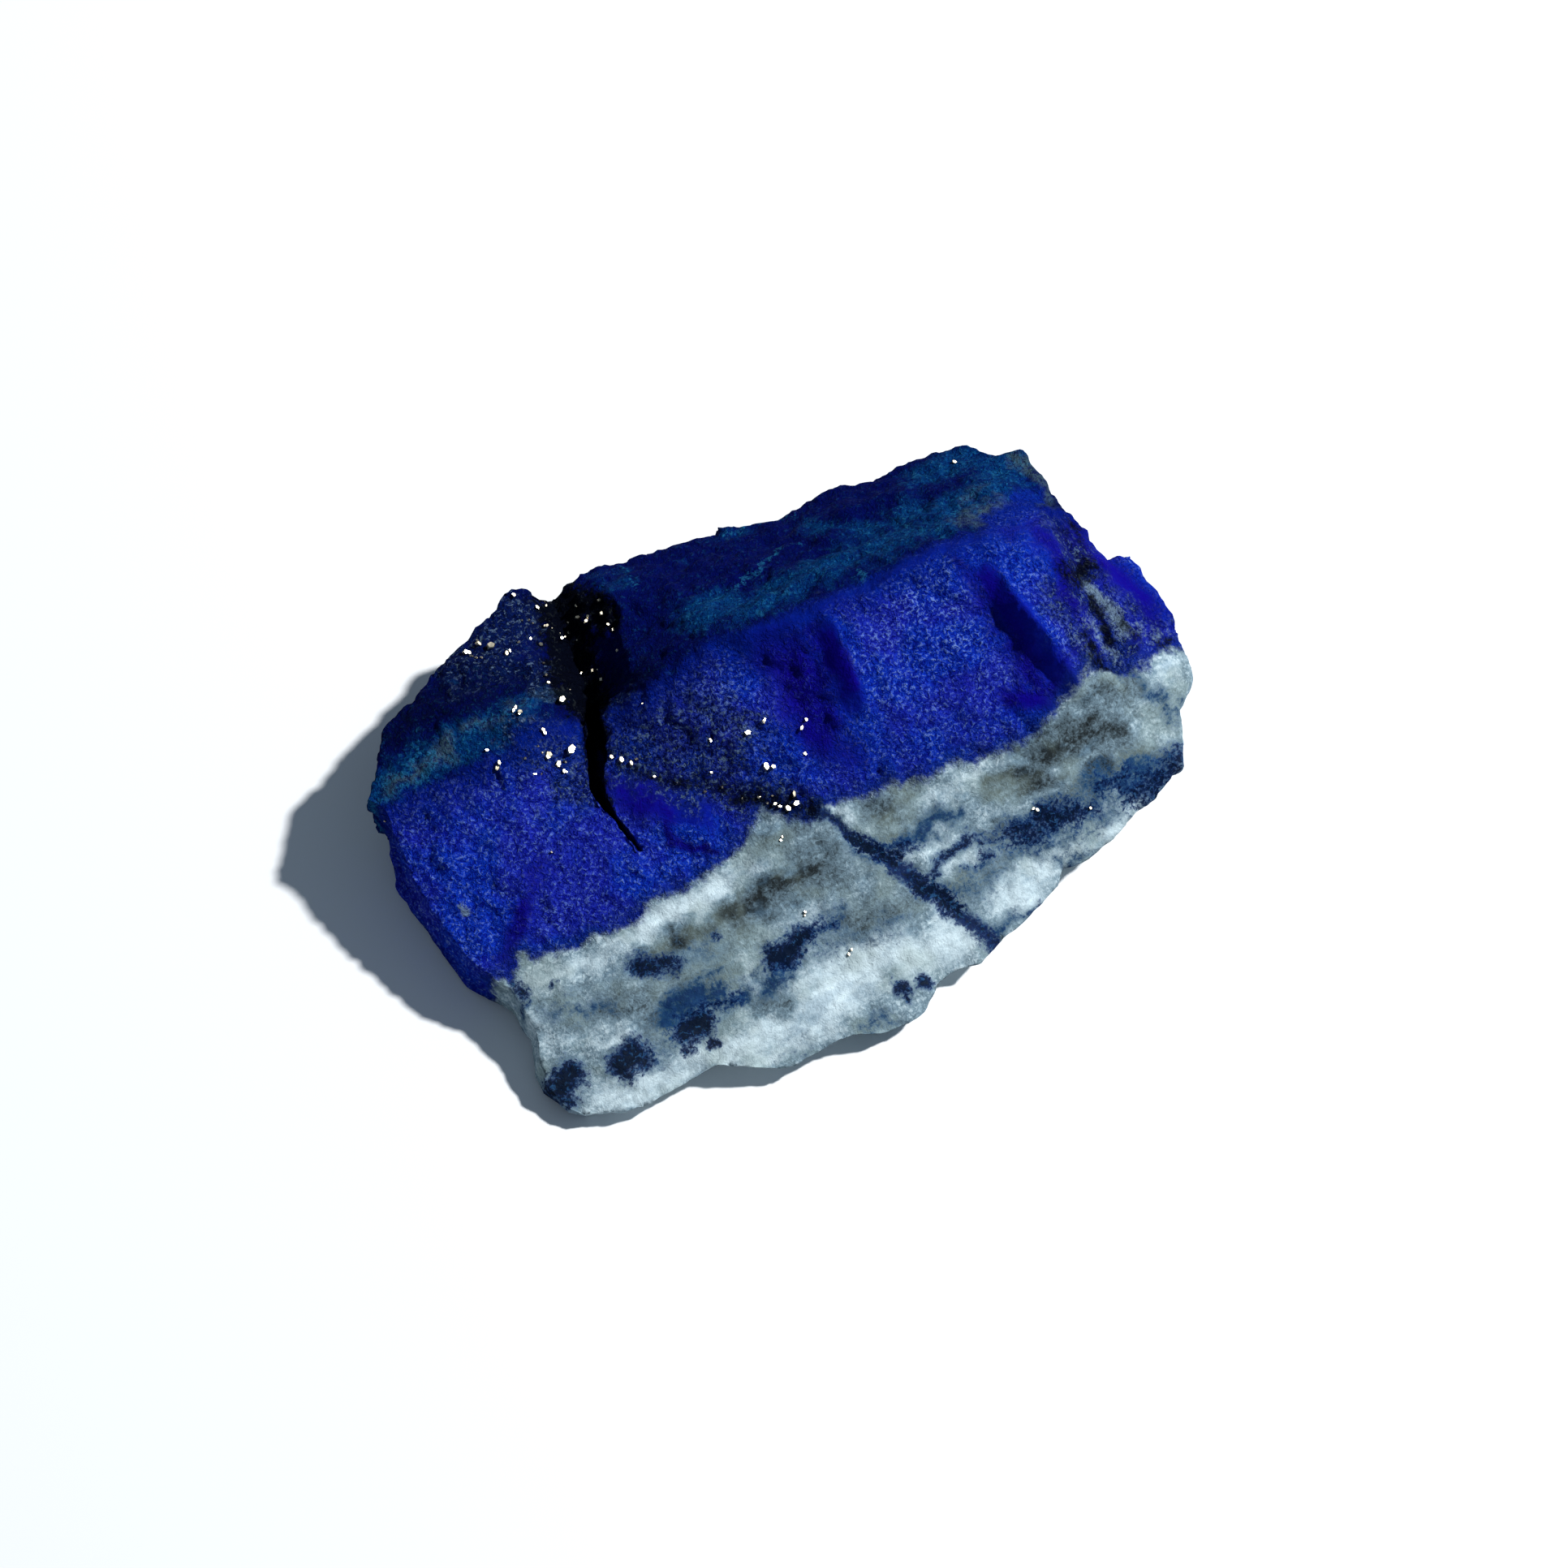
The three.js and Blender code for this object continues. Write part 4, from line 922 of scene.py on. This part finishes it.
def weathered_rock(s, c, grit):
    """Old faces: navy, clouded with teal and olive, with pale flecks and threads, and painted shade.
    """
    cloud = s.swirl(2.2, 6.0, None, 0.6)
    teal = (s.attribute("teal") + 0.4 * cloud).above(0.1, 0.9)
    colour = s.mix(0.95 * teal, c.navy, c.teal)
    sky = s.attribute("sky") + 0.3 * s.swirl(0.8, 4.0)
    colour = s.mix(0.6 * sky.above(0.1, 1.0), colour, c.pure_blue)
    olive = s.attribute("olive") + 0.4 * s.swirl(0.9, 5.0, None, 0.65)
    colour = s.mix(0.8 * olive.above(0.1, 1.0), colour, c.olive)
    # Painted shade on the weathered back.
    shaded = s.attribute("shaded") + 0.3 * s.swirl(0.9, 5.0, None, 0.65)
    colour = s.mix(0.7 * shaded.above(0.1, 0.8), colour, c.painted_shade_black_blue)
    colour = s.mix(0.7 * grit.above(0.52, 0.38), colour, c.navy)
    colour = s.mix(grit.above(0.55, 0.7) * (0.15 + 0.6 * teal), colour, c.wisp)
    patch = s.grit(*PALE_PATCHES).above(0.58, 0.72) * (0.15 + 0.45 * teal)
    colour = s.mix(patch, colour, c.wisp)
    wisp = s.frayed("wisp", 2.5 * (grit - 0.5))
    return s.mix(0.7 * wisp.above(0.35, 0.85), colour, c.wisp)


def calcite(s, c, grit):
    """Pale rock with drawn-out white and grey bands, teal stains and dark blue spots."""
    grain = grit - 0.5
    broken = s.swirl(0.4, 5.0, None, 0.75)
    # The white strokes along the front rim are partly painted light.
    white = s.attribute("white") + 0.12 * broken
    grey = s.attribute("grey") + 0.2 * broken
    bands = s.swirl(1.1, 6.0, s.stretched(0.3, 1.0, 1.0), 0.65)
    streaks = s.swirl(0.45, 4.0, s.stretched(0.16, 1.0, 1.0), 0.6)
    level = 0.5 + 0.42 * white - 0.58 * grey + 0.12 * bands + 0.13 * streaks
    level = level + grain * (1.3 - 0.9 * white.above(0.1, 0.8))
    colour = s.mix(level.above(-0.25, 0.65), c.charcoal, c.pale_grey)
    colour = s.mix(level.above(0.4, 1.15), colour, c.white)
    colour = s.mix(0.4 * s.noise(3.0, 3.0).above(0.46, 0.64), colour, c.ivory)
    wash = s.swirl(1.7, 5.0, s.stretched(0.5, 1.0, 1.0), 0.65)
    colour = s.mix(0.4 * wash.above(0.1, 0.9), colour, c.wash)
    stain = s.frayed("stain", 0.45 * broken + 0.4 * streaks + 2.2 * grain)
    colour = s.mix(0.9 * stain.above(0.1, 1.3), colour, c.stain)
    colour = s.mix(0.6 * stain.above(0.9, 1.6), colour, c.spot)
    spot = s.frayed("spot", 0.3 * broken + 2.2 * grain)
    colour = s.mix(0.6 * spot.above(0.0, 0.7), colour, c.halo)
    vein = s.frayed("vein", 0.25 * broken + 2.0 * grain)
    colour = s.mix(0.5 * vein.above(0.0, 0.6), colour, c.halo)
    dark = s.mix(0.85 * (spot + 0.7 * vein).above(0.5, 1.1), c.spot, c.ore_and_shadow)
    dark = s.mix(0.8 * s.grit(*SPOT_GRAINS).above(0.55, 0.68), dark, c.halo)
    return s.mix(0.94 * (spot + vein).above(0.2, 0.85), colour, dark)


def stone_relief(s, grit):
    """Heights in millimetres of the grains, finer than the mesh."""
    pale = s.attribute("pale").above(-0.2, 0.4)
    smooth = s.attribute("smooth").above(0.2, 0.8)
    sugar = SUGAR_RELIEF * (grit - 0.5) * (1 - 0.8 * pale) * (1 - 0.75 * smooth)
    crumbs = CRUMB_RELIEF * s.swirl(0.7, 3.0) * (1 - 0.5 * smooth) * (1 - 0.6 * pale)
    return sugar + crumbs - VEIN_DEPTH * s.attribute("vein") * pale


def stone_finish(settings):
    s = Shader("lapis")
    c = settings
    grit = s.grit(settings.grain / MM, 0.0)
    ragged = 0.22 * s.swirl(1.0, 4.0) + 0.25 * s.swirl(0.35, 4.0, None, 0.7)
    rind = (s.attribute("pale") + ragged).above(*RIND_BELT)
    blue = speckled_rock(s, c, grit, blue_rock(s, c, grit))
    blue = s.mix(0.6 * rind, blue, c.rind)
    crest = (s.attribute("weathered") + ragged).above(*CREST_BELT)
    blue = s.mix(0.85 * crest, blue, c.crest)
    back = (s.attribute("weathered") + ragged).above(*BACK_BELT)
    old = speckled_rock(s, c, grit, weathered_rock(s, c, grit))
    colour = s.mix(back, blue, old)
    pale = (s.attribute("pale") + ragged).above(*PALE_BELT)
    colour = s.mix(pale, colour, calcite(s, c, grit))
    streak = s.frayed("streak", 0.3 * s.swirl(0.5, 5.0, None, 0.7) + 2 * (grit - 0.5))
    colour = s.mix(0.75 * streak.above(0.3, 1.0) * (1 - pale), colour, c.pale_grey)
    # Dark matrix, partly painted shadow in the pits and along the crack.
    ore_and_shadow = s.frayed("ore_and_shadow", 0.35 * s.swirl(0.6, 5.0, None, 0.7) + 1.2 * (grit - 0.5))
    ore_and_shadow = 0.95 * ore_and_shadow.above(0.25, 0.75) * (1 - pale)
    crumb = 0.6 * s.grit(*DULL_CRUMBS).above(0.55, 0.68) * (1 - s.attribute("ore_and_shadow").above(0.9, 1.3))
    colour = s.mix(ore_and_shadow, colour, s.mix(crumb, c.ore_and_shadow, c.crumb))
    s.connect(s.surface.inputs["Base Color"], colour)
    s.connect(s.surface.inputs["Roughness"], 0.9 - 0.4 * grit.above(0.5, 0.8))
    s.connect(s.surface.inputs["Normal"], s.bump(stone_relief(s, grit)))
    s.surface.inputs["Specular IOR Level"].default_value = STONE_SHEEN
    return s.material


class LAPIS_OT_stone(bpy.types.Operator):
    """Makes the stone from its solid, with its relief and its finish"""

    bl_idname = "lapis.stone"
    bl_label = "Stone"

    def execute(self, context):
        settings = context.scene.lapis_stone
        stone = stone_mesh(settings)
        break_surface(stone, settings)
        paint_minerals_and_shade(stone, settings)
        stone.data.materials.append(stone_finish(settings))
        activate(stone)
        bpy.ops.object.shade_smooth()
        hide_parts(NODE)
        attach(stone, BODY)
        return {"FINISHED"}


# ---------------------------------------------------------------------------------------------
# The pyrite.


TWINS = (1, 2, 2)  # how many crystals stand together at a bright place, at random
TWIN_SPREAD = 0.45  # how far apart they stand, as a share of their size
TWIN_WIDTH = (0.5, 0.95)  # range of their width, as a share of their size
FINE_WIDTH = (0.5, 1.4)  # range of the fine crystals' width
CUT_EDGE = 0.09  # width of a crystal's cut edges, as a share of its width
DEPTHS = (0.5, 1.2)  # ranges of a crystal's depth and height, as shares of its width
HEIGHTS = (0.7, 1)
SKEW = 0.4  # how far a crystal may lean out of square, as a share of its width
DROP_HEIGHT = 0.05  # metres, well above the stone


def crystal_template():
    """One small crystal: a block with a flat top and cut edges, a millimetre across."""
    bpy.ops.object.select_all(action="DESELECT")
    bpy.ops.mesh.primitive_cylinder_add(vertices=5, radius=0.5 * MM, depth=0.8 * MM)
    crystal = bpy.context.object
    bpy.ops.object.modifier_add(type="BEVEL")
    modifier = crystal.modifiers[-1]
    modifier.width = CUT_EDGE * MM
    modifier.segments = 1
    bpy.ops.object.modifier_apply(modifier=modifier.name)
    return crystal


def bed_places(rng, line, reach, count):
    """Scattered plan places within reach of a line."""
    for _ in range(count):
        k = rng.randrange(len(line) - 1)
        share = rng.random()
        x, y = (a + (b - a) * share for a, b in zip(line[k], line[k + 1]))
        turn = rng.uniform(0, math.tau)
        out = reach * math.sqrt(rng.random())
        yield x + out * math.cos(turn), y + out * math.sin(turn)


def pyrite_finish(settings):
    s = Shader("pyrite")
    tarnish = s.noise(0.4, 3.0).above(0.35, 0.75)
    s.connect(s.surface.inputs["Base Color"], s.mix(0.5 * tarnish, settings.brass, settings.tarnish))
    s.connect(s.surface.inputs["Roughness"], 0.22 + 0.2 * tarnish)
    s.surface.inputs["Metallic"].default_value = 1.0
    return s.material


class Beds:
    """Crystals, copied from one template and set in the stone's surface."""

    def __init__(self, stone, settings):
        self.settings = settings
        self.rng = random.Random(settings.seed)
        self.surface = BVHTree.FromObject(stone, bpy.context.evaluated_depsgraph_get())
        self.template = crystal_template()
        self.copies = []

    def set_in(self, x, y, size, turn):
        """One crystal, on the surface at a plan place in millimetres."""
        above = Vector((x * MM, y * MM, DROP_HEIGHT))
        hit, normal, _, _ = self.surface.ray_cast(above, Vector((0, 0, -1)))
        if hit is None:
            return
        copy = self.template.copy()
        copy.data = self.template.data.copy()
        bpy.context.scene.collection.objects.link(copy)
        rise = (0.5 - self.settings.sunk) * size * MM
        depth = self.rng.uniform(*DEPTHS)
        height = self.rng.uniform(*HEIGHTS)
        shape = Matrix.Diagonal((size, size * depth, size * height, 1))
        shape[0][1] = size * self.rng.uniform(-SKEW, SKEW)
        copy.data.transform(Matrix.Translation(hit + rise * normal) @ turn @ shape)
        self.copies.append(copy)

    def set_bright(self):
        """Crystals that catch the light, nearly facing the way that mirrors it to the eye."""
        mirror = (light_direction() + camera_direction()).normalized()
        facing = mirror.to_track_quat("Z", "Y").to_matrix().to_4x4()
        for x, y, size in BRIGHT_CRYSTALS:
            for _ in range(self.rng.choice(TWINS)):
                lean_x = Matrix.Rotation(self.rng.gauss(0, self.settings.lean), 4, "X")
                lean_y = Matrix.Rotation(self.rng.gauss(0, self.settings.lean), 4, "Y")
                spin = Matrix.Rotation(self.rng.uniform(0, math.tau), 4, "Z")
                away_x = TWIN_SPREAD * size * self.rng.gauss(0, 1)
                away_y = TWIN_SPREAD * size * self.rng.gauss(0, 1)
                width = size * self.rng.uniform(*TWIN_WIDTH)
                self.set_in(x + away_x, y + away_y, width, facing @ lean_x @ lean_y @ spin)

    def set_fine(self):
        """Small crystals scattered along the beds, turned anyhow."""
        for line, reach, count in CRYSTAL_BEDS:
            for x, y in bed_places(self.rng, line, reach, count):
                axis = Vector([self.rng.gauss(0, 1) for _ in range(3)]).normalized()
                turn = Matrix.Rotation(self.rng.uniform(0, math.tau), 4, axis)
                width = self.settings.fine_size / MM * self.rng.uniform(*FINE_WIDTH)
                self.set_in(x, y, width, turn)


def crystal_meshes(stone, settings):
    """Every crystal, set in the stone's surface."""
    beds = Beds(stone, settings)
    beds.set_bright()
    beds.set_fine()
    bpy.data.objects.remove(beds.template)
    return beds.copies


class LAPIS_OT_pyrite(bpy.types.Operator):
    """Sets the pyrite crystals in the stone"""

    bl_idname = "lapis.pyrite"
    bl_label = "Pyrite crystals"

    def execute(self, context):
        settings = context.scene.lapis_pyrite
        copies = crystal_meshes(bpy.data.objects["lapis_stone"], settings)
        activate(*copies)
        bpy.ops.object.join()
        crystals = bpy.context.object
        crystals.name = "pyrite_crystals"
        crystals.data.materials.append(pyrite_finish(settings))
        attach(crystals, BODY)
        return {"FINISHED"}


# ---------------------------------------------------------------------------------------------
# The stage.


def floor_finish(settings):
    s = Shader("pale floor")
    s.connect(s.surface.inputs["Base Color"], s.rgba(settings.floor_colour))
    s.surface.inputs["Roughness"].default_value = 0.9
    s.surface.inputs["Specular IOR Level"].default_value = 0.1
    return s.material


def add_floor(settings):
    bpy.ops.object.select_all(action="DESELECT")
    bpy.ops.mesh.primitive_plane_add(size=settings.floor_size)
    floor = bpy.context.object
    floor.name = "floor"
    floor.data.materials.append(floor_finish(settings))


def aim(thing, direction):
    thing.rotation_euler = direction.to_track_quat("Z", "Y").to_euler()


def add_key_light(settings):
    direction = light_direction()
    bpy.ops.object.light_add(type="AREA", location=VIEW_TARGET + KEY_DISTANCE * direction)
    key = bpy.context.object
    key.name = "key light"
    key.data.shape = "DISK"
    key.data.size = settings.key_size
    key.data.energy = settings.key_power
    aim(key, direction)


def add_fill(settings):
    world = bpy.data.worlds.new("studio")
    world.use_nodes = True
    background = world.node_tree.nodes["Background"]
    background.inputs["Color"].default_value = (*settings.fill_colour, 1)
    background.inputs["Strength"].default_value = settings.fill
    bpy.context.scene.world = world


def add_camera():
    direction = camera_direction()
    bpy.ops.object.camera_add(location=VIEW_TARGET + VIEW_DISTANCE * direction)
    camera = bpy.context.object
    camera.name = "camera"
    camera.data.lens = VIEW_LENS
    camera.data.clip_start = MM
    aim(camera, direction)
    bpy.context.scene.camera = camera


class LAPIS_OT_stage(bpy.types.Operator):
    """Adds the pale floor, the studio light and the camera"""

    bl_idname = "lapis.stage"
    bl_label = "Stage"

    def execute(self, context):
        settings = context.scene.lapis_stage
        add_floor(settings)
        add_key_light(settings)
        add_fill(settings)
        add_camera()
        context.scene.view_settings.view_transform = "Standard"
        return {"FINISHED"}


# ---------------------------------------------------------------------------------------------
# The add-on.


class LAPIS_PT_sidebar(bpy.types.Panel):
    """The parts of the specimen and their settings"""

    bl_idname = "LAPIS_PT_sidebar"
    bl_label = "Rough Lapis Lazuli"
    bl_space_type = "VIEW_3D"
    bl_region_type = "UI"
    bl_category = "Lapis"

    def draw(self, context):
        for operator, settings in (
            (LAPIS_OT_stone, context.scene.lapis_stone),
            (LAPIS_OT_pyrite, context.scene.lapis_pyrite),
            (LAPIS_OT_stage, context.scene.lapis_stage),
        ):
            box = self.layout.box()
            box.operator(operator.bl_idname)
            for name in settings.__annotations__:
                box.prop(settings, name)


SETTINGS = {
    "lapis_stone": LapisStoneSettings,
    "lapis_pyrite": LapisPyriteSettings,
    "lapis_stage": LapisStageSettings,
}
CLASSES = (*SETTINGS.values(), LAPIS_OT_stone, LAPIS_OT_pyrite, LAPIS_OT_stage, LAPIS_PT_sidebar)


def register():
    for cls in CLASSES:
        bpy.utils.register_class(cls)
    for name, cls in SETTINGS.items():
        setattr(bpy.types.Scene, name, bpy.props.PointerProperty(type=cls))


def unregister():
    for name in SETTINGS:
        delattr(bpy.types.Scene, name)
    for cls in reversed(CLASSES):
        bpy.utils.unregister_class(cls)


def main():
    register()
    bpy.ops.lapis.stone()
    bpy.ops.lapis.pyrite()
    bpy.ops.lapis.stage()


if __name__ == "__main__":
    main()
